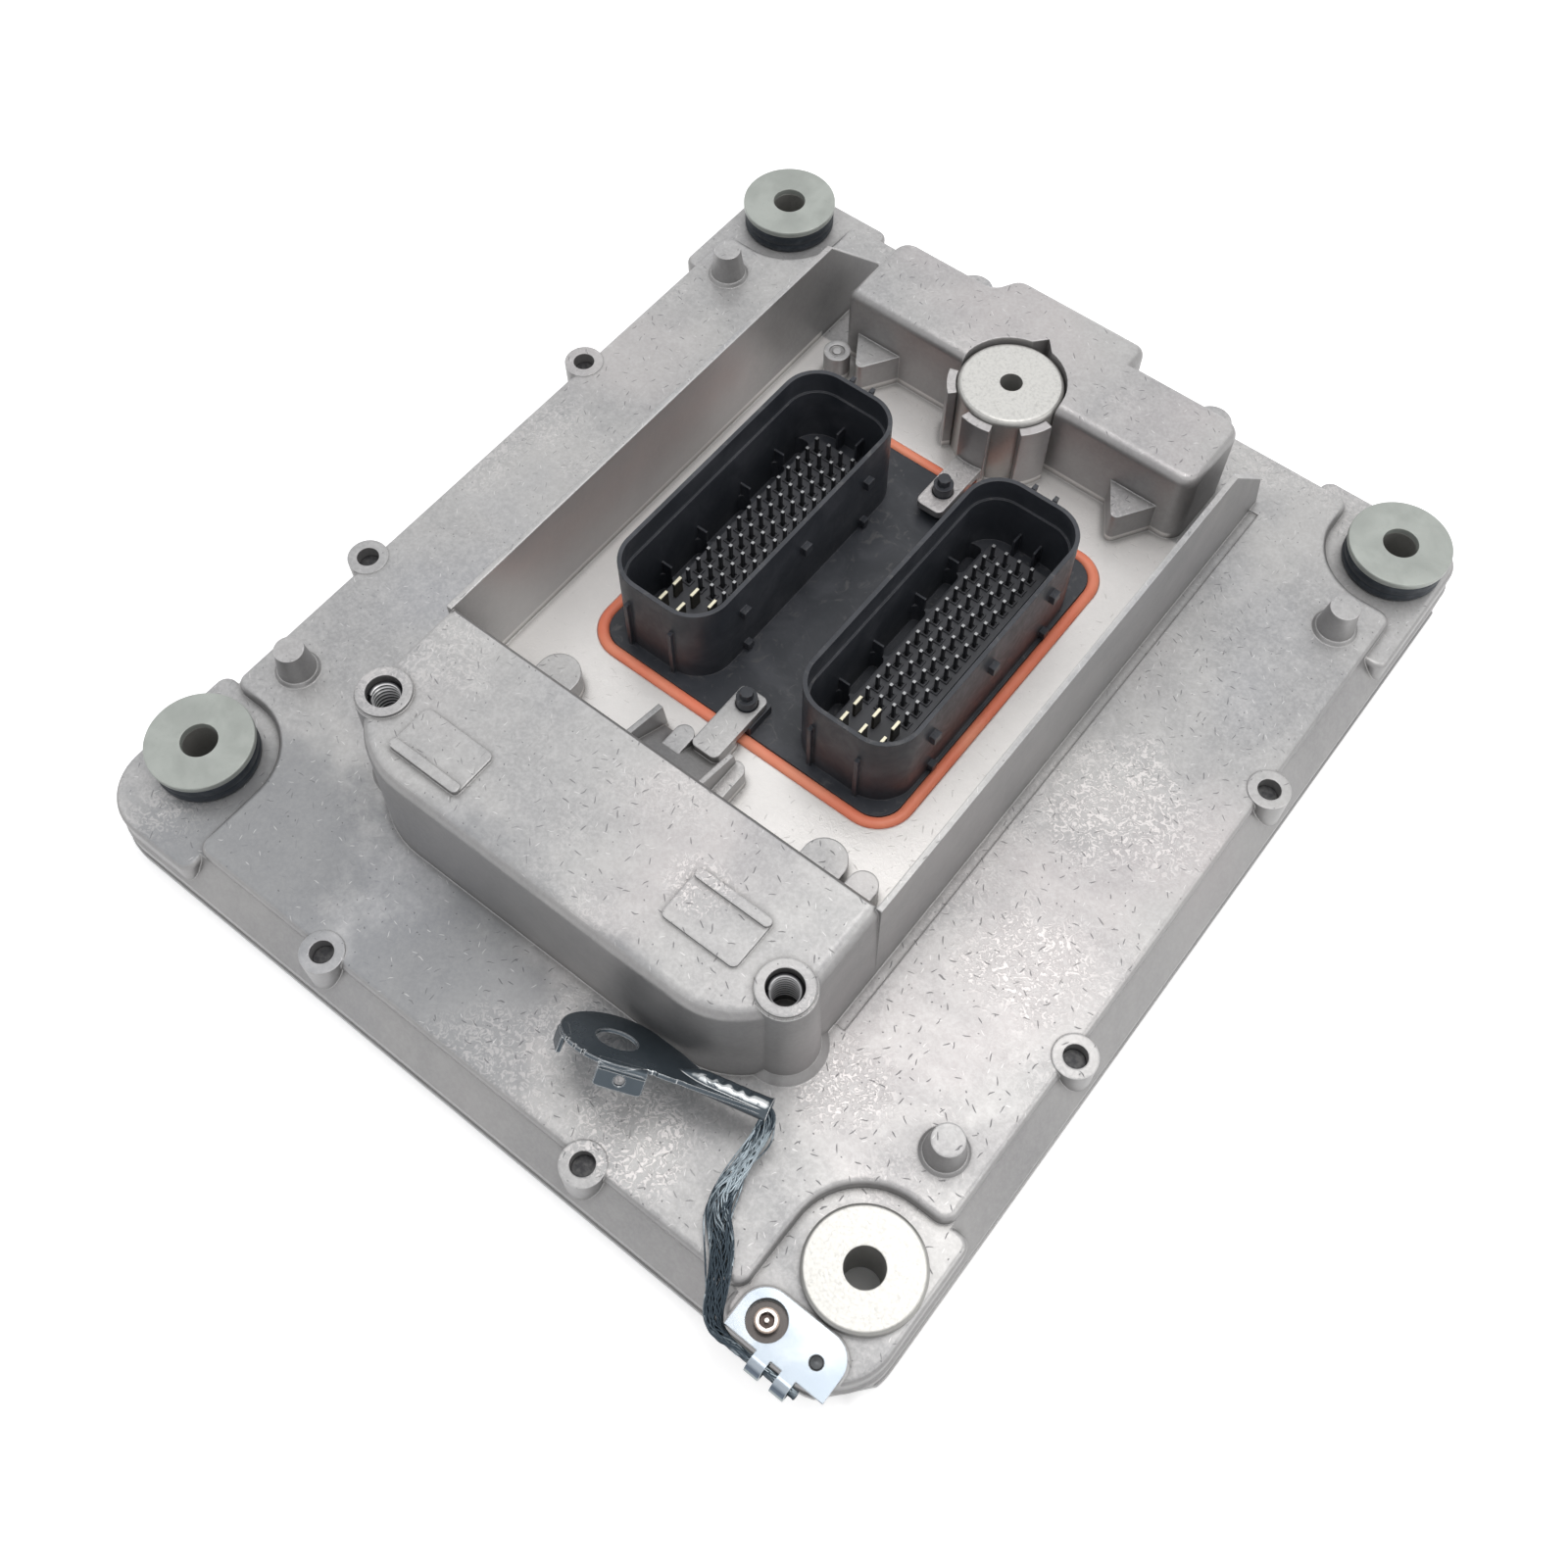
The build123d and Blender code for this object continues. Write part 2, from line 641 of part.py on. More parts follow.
def rear_gusset(side):
    """Triangular foot against the front of the rear block."""
    sheet = make_face(
        Polyline(
            (side * GUSSET_X - GUSSET_HALF_WIDTH, REAR_BLOCK_FRONT + 1),
            (side * GUSSET_X + GUSSET_HALF_WIDTH, REAR_BLOCK_FRONT + 1),
            (side * GUSSET_X, REAR_GUSSET_TIP - REAR_GUSSET_NOSE / 2),
            close=True,
        )
    )
    sheet = fillet(sheet.vertices().sort_by(Axis.Y)[0], REAR_GUSSET_NOSE)
    return Pos(0, 0, FLOOR_TOP - 1) * extrude(sheet, REAR_GUSSET_TOP - FLOOR_TOP + 1)


def front_gusset(side):
    """Round-nosed foot against the back of the front block."""
    nose_y = FRONT_GUSSET_TIP - FRONT_GUSSET_HALF_WIDTH
    low = FLOOR_TOP - 1
    foot = rod(side * GUSSET_X, nose_y, FRONT_GUSSET_HALF_WIDTH, low, FRONT_GUSSET_TOP)
    x_low = side * GUSSET_X - FRONT_GUSSET_HALF_WIDTH
    x_high = side * GUSSET_X + FRONT_GUSSET_HALF_WIDTH
    back = FRONT_BLOCK_BACK - 2
    return foot + slab(x_low, x_high, back, nose_y, low, FRONT_GUSSET_TOP)


def buttress():
    """Sloping body behind the front clip arm, between two fins that rise to the block."""
    low = FLOOR_TOP - 1
    wall = FRONT_BLOCK_BACK - 2
    fin_profile = make_face(
        Polyline(
            (wall, low),
            (FIN_FOOT_Y, low),
            (FIN_TOP_Y, FIN_NOSE_TOP),
            (wall, FIN_TOP),
            close=True,
        )
    )
    ramp_profile = make_face(
        Polyline(
            (wall, low),
            (RAMP_FOOT_Y + 1, low),
            (RAMP_FOOT_Y, RAMP_FOOT_TOP),
            (wall, RAMP_TOP),
            close=True,
        )
    )
    body = Plane.YZ.offset(FINS_X[0]) * extrude(ramp_profile, FINS_X[1] - FINS_X[0])
    for x in FINS_X:
        body += Plane.YZ.offset(x - FIN_THICKNESS / 2) * extrude(fin_profile, FIN_THICKNESS)
    for x, y, top in (LEFT_LOBE, RIGHT_LOBE):
        body += rod(x, y, LOBE_RADIUS, low, top)
        body += slab(x - LOBE_RADIUS, x + LOBE_RADIUS, wall, y, low, top)
    return body


def arm_plate(y_low, y_high):
    """Flat part of a clip arm, rounded at its corners."""
    low = ARM_TOP - ARM_THICKNESS
    return slab(-ARM_WIDTH / 2, ARM_WIDTH / 2, y_low, y_high, low, ARM_TOP, ARM_CORNER)


def clip_arms():
    """The two cast arms that hold the header down, with the holes for its pegs."""
    half = ARM_WIDTH / 2
    opening_front = HEADER_FRONT - SEAL_WIDTH
    opening_back = HEADER_BACK + SEAL_WIDTH
    low = FLOOR_TOP - 1
    front = arm_plate(FRONT_ARM_ROOT, FRONT_ARM_END)
    front += slab(-half, half, FRONT_ARM_ROOT, opening_front - 0.4, low, ARM_TOP, ARM_CORNER)
    root = CENTRE_Y - CENTRE_BUSH_RADIUS - FINGER_CLEARANCE - FINGER_THICKNESS / 2
    rear = arm_plate(REAR_ARM_END, root)
    rear += slab(-half, half, opening_back + 0.4, root, low, ARM_TOP)
    for y in peg_places():
        hole = rod(0, y, PEG_RADIUS + PEG_CLEARANCE, ARM_TOP - 2 * ARM_THICKNESS, ARM_TOP + 1)
        front -= hole
        rear -= hole
    return [front, rear]


def peg_places():
    """Where the header's pegs stand along Y."""
    return (FRONT_ARM_END - PEG_INSET, REAR_ARM_END + REAR_PEG_INSET)


def tile(x_limits, depths, bar_low):
    """One raised tile on top of the front block, with a bar along its front or back side."""
    x_low, x_high = x_limits
    y_low, y_high = (FRONT_BLOCK_FRONT + depth for depth in depths)
    low = FRONT_BLOCK_TOP - 1
    area = slab(x_low, x_high, y_low, y_high, low, FRONT_BLOCK_TOP + TILE_RISE, TILE_CORNER)
    bar_y = y_low if bar_low else y_high - TILE_BAR_WIDTH
    bar_top = FRONT_BLOCK_TOP + TILE_BAR_RISE
    return area + slab(x_low, x_high, bar_y, bar_y + TILE_BAR_WIDTH, low, bar_top, TILE_BAR_CORNER)


def tiles():
    """Both tiles of the front block."""
    return [tile(LEFT_TILE_X, LEFT_TILE_DEPTHS, True), tile(RIGHT_TILE_X, RIGHT_TILE_DEPTHS, False)]


def bracket_boss():
    """Raised seat for the earthing bracket on the front right pad."""
    margin = BRACKET_BOSS_MARGIN
    area = bracket_sheet(margin) & casting_outline(PAD_INSET)
    seat = Pos(0, 0, PAD_TOP - 1) * extrude(area, BRACKET_LOW - PAD_TOP + 1)
    peg_top = BRACKET_LOW + BRACKET_THICKNESS
    return seat + rod(PEG_HOLE_X, PEG_HOLE_Y, LOCATING_PEG_RADIUS, PAD_TOP, peg_top)


def bracket_sheet(margin=0.0):
    """Plan of the bracket: round at both ends of its back edge, straight in front."""
    left = BRACKET_LEFT - margin
    right = BRACKET_RIGHT + margin
    back = BRACKET_BACK + margin
    sheet = Pos((left + right) / 2, (BRACKET_FRONT + back) / 2)
    sheet = sheet * Rectangle(right - left, back - BRACKET_FRONT)
    return fillet(sheet.vertices().group_by(Axis.Y)[-1], BRACKET_CORNER + margin)


def lower_hollow():
    """Space for the circuit board, open to the base plate."""
    sheet = cut_corners(casting_outline(CAVITY_RIM), CAVITY_CORNER_RADIUS)
    top = PLATEAU_TOP - WALL
    return Pos(0, 0, CASTING_LOW - 1) * extrude(sheet, top - CASTING_LOW + 1)


def well_hollow():
    """Space under the floor of the connector well."""
    low = PLATEAU_TOP - WALL - 1
    half = RIDGE_FOOT_INNER - WALL / 2
    top = FLOOR_TOP - FLOOR_THICKNESS
    return slab(-half, half, FRONT_BLOCK_BACK - 8, REAR_BLOCK_BACK - WALL, low, top, 3.0)


def block_hollows():
    """Spaces inside the front and the rear block for tall capacitors."""
    low = PLATEAU_TOP - WALL - 1
    half = BOSS_X - BOSS_FOOT_RADIUS - 1
    front_y = FRONT_BLOCK_FRONT + FRONT_HOLLOW_MARGIN
    back_y = FRONT_BLOCK_BACK - FRONT_HOLLOW_MARGIN
    front = slab(-half, half, front_y, back_y, low, FRONT_BLOCK_TOP - WALL, FRONT_HOLLOW_CORNER)
    top = REAR_BLOCK_TOP - WALL
    left = REAR_BLOCK_LEFT + WALL
    right = REAR_BLOCK_RIGHT - WALL
    rear = slab(left, right, REAR_BLOCK_FRONT + WALL, REAR_BLOCK_BACK - WALL, low, top, WALL)
    rear -= rod(0, CENTRE_Y, POCKET_RADIUS + WALL, low - 1, top + 1)
    return [front, rear]


def header_sheet(grow):
    """Plan of the header's body, grown by the given margin."""
    width = 2 * (HEADER_HALF_WIDTH + grow)
    depth = HEADER_BACK - HEADER_FRONT + 2 * grow
    middle = (HEADER_BACK + HEADER_FRONT) / 2
    return Pos(0, middle) * RectangleRounded(width, depth, HEADER_CORNER + grow)


def casting_base():
    """Flange, flank, plateau, pads and the floor of the connector well."""
    body = Pos(0, 0, CASTING_LOW) * extrude(casting_outline(0), FLANGE_TOP - CASTING_LOW)
    lower = Pos(0, 0, FLANGE_TOP) * casting_outline(0)
    upper = Pos(0, 0, PAD_TOP) * casting_outline(PLATEAU_INSET)
    body += loft([lower, upper], ruled=True)
    body += plateau()
    for pad in corner_pads():
        body += pad
    half = RIDGE_FOOT_INNER + 1
    body += slab(-half, half, FRONT_BLOCK_BACK - 2, RIDGE_BACK - 2, PLATEAU_TOP - 1, FLOOR_TOP)
    for side in (-1, 1):
        x_low, x_high = sorted((side * RIDGE_FOOT_OUTER, side * GUTTER_EDGE))
        y_low = BOSS_Y + BOSS_SKIRT_RADIUS
        low = PLATEAU_TOP - GUTTER_DEPTH
        body -= slab(x_low, x_high, y_low, RIDGE_SLOPE_END, low, PLATEAU_TOP + 1)
    return body


def thread_boss(x):
    """Tapered boss with a skirt at its foot and a ring on top."""
    low = PLATEAU_TOP - 0.5
    boss = taper_rod(x, BOSS_Y, BOSS_FOOT_RADIUS, BOSS_TOP_RADIUS, low, FRONT_BLOCK_TOP)
    skirt_top = PLATEAU_TOP + BOSS_SKIRT_HEIGHT
    boss += taper_rod(x, BOSS_Y, BOSS_SKIRT_RADIUS, BOSS_FOOT_RADIUS, low, skirt_top)
    return boss + rod(x, BOSS_Y, BOSS_RING_RADIUS, FRONT_BLOCK_TOP - 1, FRONT_BLOCK_TOP + BOSS_RISE)


def post(x, y):
    """Conical post with a small skirt."""
    low = PLATEAU_TOP - 0.5
    body = taper_rod(x, y, POST_FOOT_RADIUS, POST_TOP_RADIUS, low, POST_TOP)
    skirt = POST_FOOT_RADIUS + POST_SKIRT
    return body + taper_rod(x, y, skirt, POST_FOOT_RADIUS, PLATEAU_TOP - 0.2, PLATEAU_TOP + POST_SKIRT)


def side_bosses():
    """Round boss before the rear block, with a ring groove, and one against the front block."""
    low = FLOOR_TOP - 1
    radius = SIDE_BOSS_RADIUS
    x, y = SIDE_BOSS_REAR
    rear = rod(x, y, radius, low, SIDE_BOSS_REAR_TOP)
    inner, outer = DIMPLE_RADII
    groove = Circle(outer) - Circle(inner)
    rear -= Pos(x, y, SIDE_BOSS_REAR_TOP - DIMPLE_DEPTH) * extrude(groove, 1)
    x, y = SIDE_BOSS_FRONT
    front = rod(x, y, radius, low, FRONT_GUSSET_TOP)
    front += slab(x - radius, x + radius, FRONT_BLOCK_BACK - 1, y, low, FRONT_GUSSET_TOP)
    return [rear, front]


def casting_details():
    """Everything that stands on the base of the casting."""
    right_ridge = ridge()
    pieces = [front_block(), right_ridge, mirror(right_ridge, Plane.YZ), rear_block()]
    for side in (-1, 1):
        pieces += [thread_boss(side * BOSS_X), rear_gusset(side), front_gusset(side)]
        pieces += [post(side * POST_X, end * POST_Y) for end in (-1, 1)]
    pieces.append(buttress())
    pieces += [finger(angle) for angle in FINGER_ANGLES]
    pieces += side_bosses() + clip_arms() + tiles()
    pieces.append(bracket_boss())
    top = PLATEAU_TOP + LUG_RISE
    pieces += [rod(x, y, LUG_RADIUS, CASTING_LOW, top) for x, y in lug_places()]
    return pieces


def casting_openings():
    """Hollows, the header's opening and the holes for inserts, screws and isolators."""
    low = CASTING_LOW
    height = FLOOR_TOP - PLATEAU_TOP + WALL
    opening = Pos(0, 0, PLATEAU_TOP - WALL) * extrude(header_sheet(SEAL_WIDTH), height)
    cuts = [lower_hollow(), well_hollow(), *block_hollows(), opening]
    top = FRONT_BLOCK_TOP + BOSS_RISE
    for side in (-1, 1):
        cuts.append(rod(side * BOSS_X, BOSS_Y, INSERT_RADIUS, top - BOSS_BORE_DEPTH, top + 1))
    for x, y in lug_places():
        cuts.append(rod(x, y, LUG_BORE_RADIUS, low - 1, PLATEAU_TOP + LUG_RISE + 1))
    for x, y in mount_axes().values():
        cuts.append(Pos(0, 0, low - 1) * extrude(ear_relief(x, y), FLANGE_TOP - low + 1))
        cuts.append(rod(x, y, EAR_BORE_RADIUS, low, PAD_TOP + 1))
    x, y = GROUND_SCREW_X, GROUND_SCREW_Y
    dish = DISH_RADIUS + DISH_WALL + THREAD_CLEARANCE
    dish_low = BRACKET_LOW - DISH_DEPTH
    cuts.append(rod(x, y, dish, dish_low, BRACKET_LOW + 3))
    cuts.append(rod(x, y, GROUND_SHANK_RADIUS, dish_low - GROUND_SHANK_LENGTH, BRACKET_LOW))
    return cuts


def cast_housing():
    """The whole casting."""
    body = casting_base()
    for piece in casting_details():
        body += piece
    for cut in casting_openings():
        body -= cut
    ceiling = PLATEAU_TOP - WALL + 0.5
    for x, y in board_posts():
        body += rod(x, y, BOARD_POST_RADIUS, BOARD_TOP, ceiling)
        body -= rod(x, y, BOARD_SCREW_RADIUS, BOARD_TOP - 1, BOARD_TOP + BOARD_SCREW_LENGTH)
    return body


def board_posts():
    """Places of the board's screws, on both sides."""
    return [(side * x, y) for side in (-1, 1) for x, y in BOARD_POSTS]


def header_block():
    """Body of the header below the shrouds, with its flange under the casting's floor."""
    low = FLOOR_TOP - FLOOR_THICKNESS - HEADER_FLANGE_THICKNESS
    block = Pos(0, 0, low) * extrude(header_sheet(0), HEADER_TOP - low)
    block += Pos(0, 0, low) * extrude(header_sheet(HEADER_FLANGE), HEADER_FLANGE_THICKNESS)
    return block


def shroud_outline(margin):
    """Plan of the right-hand shroud, drawn in by margin."""
    width = SHROUD_OUTER_X - SHROUD_INNER_X - 2 * margin
    depth = SHROUD_BACK - SHROUD_FRONT - 2 * margin
    middle = Pos((SHROUD_OUTER_X + SHROUD_INNER_X) / 2, (SHROUD_BACK + SHROUD_FRONT) / 2)
    return middle * RectangleRounded(width, depth, SHROUD_CORNER - margin)


def shroud_ribs():
    """Upright ribs outside the front and the back wall, the back ones with a hooked top."""
    half = OUTER_RIB_THICKNESS / 2
    low = HEADER_TOP - 1
    ribs = []
    for x in FRONT_RIBS_X:
        y_low = SHROUD_FRONT - FRONT_RIB_DEPTH
        ribs.append(slab(x - half, x + half, y_low, SHROUD_FRONT + SHROUD_WALL, low, FRONT_RIB_TOP))
    start = SHROUD_BACK - SHROUD_WALL
    profile = make_face(
        Polyline(
            (start, low),
            (SHROUD_BACK + BACK_RIB_NECK, low),
            (SHROUD_BACK + BACK_RIB_NECK, BACK_RIB_TOP - BACK_HOOK_HEIGHT),
            (SHROUD_BACK + BACK_RIB_DEPTH, BACK_RIB_TOP),
            (SHROUD_BACK + BACK_RIB_NECK, BACK_RIB_TOP),
            (start, BACK_RIB_TOP - BACK_HOOK_HEIGHT),
            close=True,
        )
    )
    for x in BACK_RIBS_X:
        ribs.append(Plane.YZ.offset(x - half) * extrude(profile, OUTER_RIB_THICKNESS))
    return ribs


def shroud_nubs():
    """Small blocks on the right side of a shroud, and smaller ones at its foot."""
    nubs = []
    for y in NUBS_Y:
        half = NUB_SIZE / 2
        x_low = SHROUD_OUTER_X - SHROUD_WALL / 2
        x_high = SHROUD_OUTER_X + NUB_DEPTH
        nubs.append(slab(x_low, x_high, y - half, y + half, NUB_HEIGHT - half, NUB_HEIGHT + half))
    for y in FOOT_NUBS_Y:
        half = FOOT_NUB_SIZE / 2
        z_low = FOOT_NUB_HEIGHT - half
        nubs.append(slab(x_low, x_high, y - half, y + half, z_low, FOOT_NUB_HEIGHT + half))
    return nubs


def shroud_solid(x_shift):
    """Outside of one shroud with its ribs and nubs."""
    solid = Pos(0, 0, HEADER_TOP - 1) * extrude(shroud_outline(0), SHROUD_RIM - HEADER_TOP + 1)
    for piece in shroud_ribs() + shroud_nubs():
        solid += piece
    return Pos(x_shift, 0, 0) * solid


def shroud_pockets(x_wall):
    """Deep pockets of the shroud's floor between the ribs of its left wall."""
    half = INNER_RIB_THICKNESS / 2
    edges = (POCKET_ENDS[0], *INNER_RIBS_Y, POCKET_ENDS[1])
    x_high = x_wall + POCKET_WIDTH
    high = SHROUD_FLOOR + 1
    pockets = []
    for low, far in zip(edges, edges[1:]):
        pockets.append(slab(x_wall, x_high, low + half, far - half, POCKET_LOW, high, POCKET_CORNER))
    return pockets


def shroud_cavity(x_shift):
    """Inside of one shroud, wider near the rim, without its inner ribs."""
    step = SHROUD_RIM - SHROUD_STEP_DEPTH
    lower = SHROUD_WALL + SHROUD_STEP
    cavity = Pos(0, 0, SHROUD_FLOOR) * extrude(shroud_outline(lower), step - SHROUD_FLOOR)
    cavity += Pos(0, 0, step) * extrude(shroud_outline(SHROUD_WALL), SHROUD_STEP_DEPTH + 1)
    x_wall = SHROUD_INNER_X + lower
    for pocket in shroud_pockets(x_wall):
        cavity += pocket
    half = INNER_RIB_THICKNESS / 2
    low = SHROUD_FLOOR - 1
    for y in INNER_RIBS_Y:
        x_high = x_wall + INNER_RIB_DEPTH
        cavity -= slab(x_wall - 1, x_high, y - half, y + half, low, INNER_RIB_TOP)
    y_wall = SHROUD_BACK - lower
    for x in REAR_INNER_RIBS_X:
        y_low = y_wall - INNER_RIB_DEPTH
        cavity -= slab(x - half, x + half, y_low, y_wall + 1, low, REAR_INNER_RIB_TOP)
    return Pos(x_shift, 0, 0) * cavity


def carrier_sheet(margin=0.0):
    """Plan of the right-hand pin carrier, grown by margin."""
    width = CARRIER_WIDTH + 2 * margin
    depth = CARRIER_BACK - CARRIER_FRONT + 2 * margin
    return Pos(SIGNAL_CENTRE_X, (CARRIER_BACK + CARRIER_FRONT) / 2) * Rectangle(width, depth)


def connector_shifts():
    """How far each connector is moved along X from the right-hand one."""
    return {"a": 0.0, "b": -(SHROUD_INNER_X + SHROUD_OUTER_X)}


def connector_header():
    """The black moulding with two shrouds, two pegs and the windows for the pin carriers."""
    low = FLOOR_TOP - FLOOR_THICKNESS - HEADER_FLANGE_THICKNESS
    header = header_block()
    pad_half = ARM_WIDTH / 2 + PEG_PAD_MARGIN
    pad_top = ARM_TOP - ARM_THICKNESS
    for y, side in zip(peg_places(), (1, -1)):
        y_low, y_high = sorted((y + side * (PEG_INSET + PEG_PAD_MARGIN), y - side * pad_half))
        header += slab(-pad_half, pad_half, y_low, y_high, HEADER_TOP - 1, pad_top, PEG_PAD_MARGIN)
        header += rod(0, y, PEG_RADIUS, HEADER_TOP, PEG_TOP - PEG_TIP_HEIGHT)
        tip = PEG_TOP - PEG_TIP_HEIGHT
        header += Pos(0, y, tip) * extrude(RegularPolygon(PEG_TIP_RADIUS, 8), PEG_TIP_HEIGHT)
    for shift in connector_shifts().values():
        header += shroud_solid(shift)
    for shift in connector_shifts().values():
        header -= shroud_cavity(shift)
        window = carrier_sheet(CARRIER_CLEARANCE)
        header -= Pos(shift, 0, low - 1) * extrude(window, SHROUD_FLOOR - low + 2)
    return header


def header_seal():
    """Silicone bead that fills the gap between header and casting."""
    low = FLOOR_TOP - FLOOR_THICKNESS
    outer = header_sheet(SEAL_WIDTH - SEAL_CLEARANCE)
    inner = header_sheet(SEAL_CLEARANCE)
    bead = Pos(0, 0, low) * extrude(outer - inner, FLOOR_THICKNESS + SEAL_RISE)
    return chamfer(top_edges(bead), SEAL_EDGE)


def signal_places():
    """Places of the signal pins in the right-hand connector."""
    first_x = SIGNAL_CENTRE_X - PIN_PITCH_X * (SIGNAL_COLUMNS - 1) / 2
    places = []
    for column in range(SIGNAL_COLUMNS):
        for row in range(SIGNAL_ROWS):
            places.append((first_x + column * PIN_PITCH_X, SIGNAL_LAST_Y - row * PIN_PITCH_Y))
    return places


def power_places():
    """Places of the power blades in the right-hand connector."""
    first_x = SIGNAL_CENTRE_X - POWER_PITCH_X * (POWER_COLUMNS - 1) / 2
    columns = range(POWER_COLUMNS)
    return [(first_x + column * POWER_PITCH_X, y) for column in columns for y in POWER_ROWS_Y]


def pin_sheet(places, width, length):
    """Sections of upright pins at the given places."""
    return [Pos(x, y) * Rectangle(width, length) for x, y in places]


def pins(places, width, length, x_shift):
    """Pins of one kind in one connector, from the circuit board up."""
    low = BOARD_TOP + SOLDER_GAP
    bars = [extrude(sheet, PIN_TOP - low) for sheet in pin_sheet(places, width, length)]
    return Pos(x_shift, 0, low) * Compound(children=bars)


def pin_carrier(x_shift):
    """Moulded block that the pins of one connector stand in."""
    header_low = FLOOR_TOP - FLOOR_THICKNESS - HEADER_FLANGE_THICKNESS
    low = header_low - CARRIER_LIP_THICKNESS
    sheet = carrier_sheet()
    lip = carrier_sheet(CARRIER_LIP)
    holes = pin_sheet(signal_places(), PIN_WIDTH + 2 * PIN_CLEARANCE, PIN_WIDTH + 2 * PIN_CLEARANCE)
    width = POWER_WIDTH + 2 * PIN_CLEARANCE
    holes += pin_sheet(power_places(), width, POWER_LENGTH + 2 * PIN_CLEARANCE)
    for hole in holes:
        sheet -= hole
        lip -= hole
    carrier = Pos(x_shift, 0, low) * extrude(sheet, CARRIER_TOP - low)
    return carrier + Pos(x_shift, 0, low) * extrude(lip, CARRIER_LIP_THICKNESS)


def plate_sheet(overhang):
    """Plan of the base plate and the gasket, cut away under the mounting ears."""
    sheet = casting_outline(-overhang)
    for x, y in mount_axes().values():
        sheet -= ear_relief(x, y)
    for x, y in lug_places():
        sheet -= Pos(x, y) * Circle(SCREW_SHANK_RADIUS + PLATE_HOLE_CLEARANCE)
    return sheet


def base_plate():
    """Flat cover under the casting."""
    return Pos(0, 0, PLATE_LOW) * extrude(plate_sheet(PLATE_OVERHANG), PLATE_THICKNESS)


def housing_gasket():
    """Thin frame between casting and base plate."""
    inner = cut_corners(casting_outline(CAVITY_RIM), CAVITY_CORNER_RADIUS)
    frame = plate_sheet(-GASKET_SETBACK) - inner
    return Pos(0, 0, PLATE_LOW + PLATE_THICKNESS) * extrude(frame, GASKET_THICKNESS)


def base_screws():
    """Screws that hold the base plate."""
    screws = []
    head_low = PLATE_LOW - SCREW_HEAD_HEIGHT
    for x, y in lug_places():
        screw = rod(x, y, SCREW_HEAD_RADIUS, head_low, PLATE_LOW)
        screw += rod(x, y, SCREW_SHANK_RADIUS, PLATE_LOW, PLATE_LOW + SCREW_REACH)
        screws.append(screw)
    return Compound(children=screws)


def isolator_washer(x, y):
    """Flat washer on top of an isolator."""
    low = ISOLATOR_TOP - WASHER_THICKNESS
    return rod(x, y, WASHER_RADIUS, low, ISOLATOR_TOP) - rod(x, y, MOUNT_BORE_RADIUS, 0, ISOLATOR_TOP + 1)


def rubber_ring(x, y, radius, z_flange, z_split):
    """One half of an isolator: a rubber ring with a neck in the casting's ear."""
    z_ear = PAD_TOP if z_flange > z_split else FLANGE_TOP
    low, high = sorted((z_flange, z_ear))
    ring = rod(x, y, radius, low, high)
    low, high = sorted((z_split, z_ear))
    ring += rod(x, y, EAR_BORE_RADIUS - RUBBER_CLEARANCE, low, high)
    return ring - rod(x, y, SLEEVE_RADIUS + RUBBER_CLEARANCE, 0, ISOLATOR_TOP)


def isolator_sleeve(x, y):
    """Steel sleeve through an isolator, with a flange at its foot."""
    sleeve = rod(x, y, SLEEVE_RADIUS, 0, ISOLATOR_TOP - WASHER_THICKNESS)
    sleeve += rod(x, y, LOWER_RUBBER_RADIUS, 0, SLEEVE_FLANGE)
    return sleeve - rod(x, y, MOUNT_BORE_RADIUS, -1, ISOLATOR_TOP)


def corner_bush(x, y):
    """Plain flanged bush in the corner that has no isolator."""
    low = CORNER_BUSH_TOP - CORNER_BUSH_FLANGE
    flange = rod(x, y, CORNER_BUSH_RADIUS, low, CORNER_BUSH_TOP)
    flange = chamfer(top_edges(flange), CORNER_BUSH_EDGE)
    bush = flange + rod(x, y, EAR_BORE_RADIUS - RUBBER_CLEARANCE, 0, low)
    return bush - rod(x, y, MOUNT_BORE_RADIUS, -1, CORNER_BUSH_TOP + 1)


def centre_bush():
    """Turned bush in the pocket of the rear block, with an eased top edge and a blind bore."""
    outer = CENTRE_BUSH_RADIUS
    top = CENTRE_BUSH_TOP
    steps = [math.radians(90 * step / CENTRE_BUSH_STEPS) for step in range(CENTRE_BUSH_STEPS + 1)]
    centre_x = outer - CENTRE_BUSH_EDGE
    centre_z = top - CENTRE_BUSH_EDGE
    arc = [
        (centre_x + CENTRE_BUSH_EDGE * math.cos(a), centre_z + CENTRE_BUSH_EDGE * math.sin(a))
        for a in steps
    ]
    profile = make_face(Plane.XZ * Polyline((0, FLOOR_TOP), (outer, FLOOR_TOP), *arc, (0, top), close=True))
    bush = Pos(0, CENTRE_Y, 0) * revolve(profile, Axis.Z)
    return bush - rod(0, CENTRE_Y, CENTRE_BORE_RADIUS, top - CENTRE_BORE_DEPTH, top + 1)


def thread_insert(side):
    """Wire thread insert in a boss of the front block."""
    x = side * BOSS_X
    high = FRONT_BLOCK_TOP + BOSS_RISE - INSERT_SETBACK
    low = high - INSERT_LENGTH
    coil = rod(x, BOSS_Y, INSERT_RADIUS - INSERT_CLEARANCE, low, high)
    return coil - rod(x, BOSS_Y, INSERT_BORE_RADIUS, low - 1, high + 1)


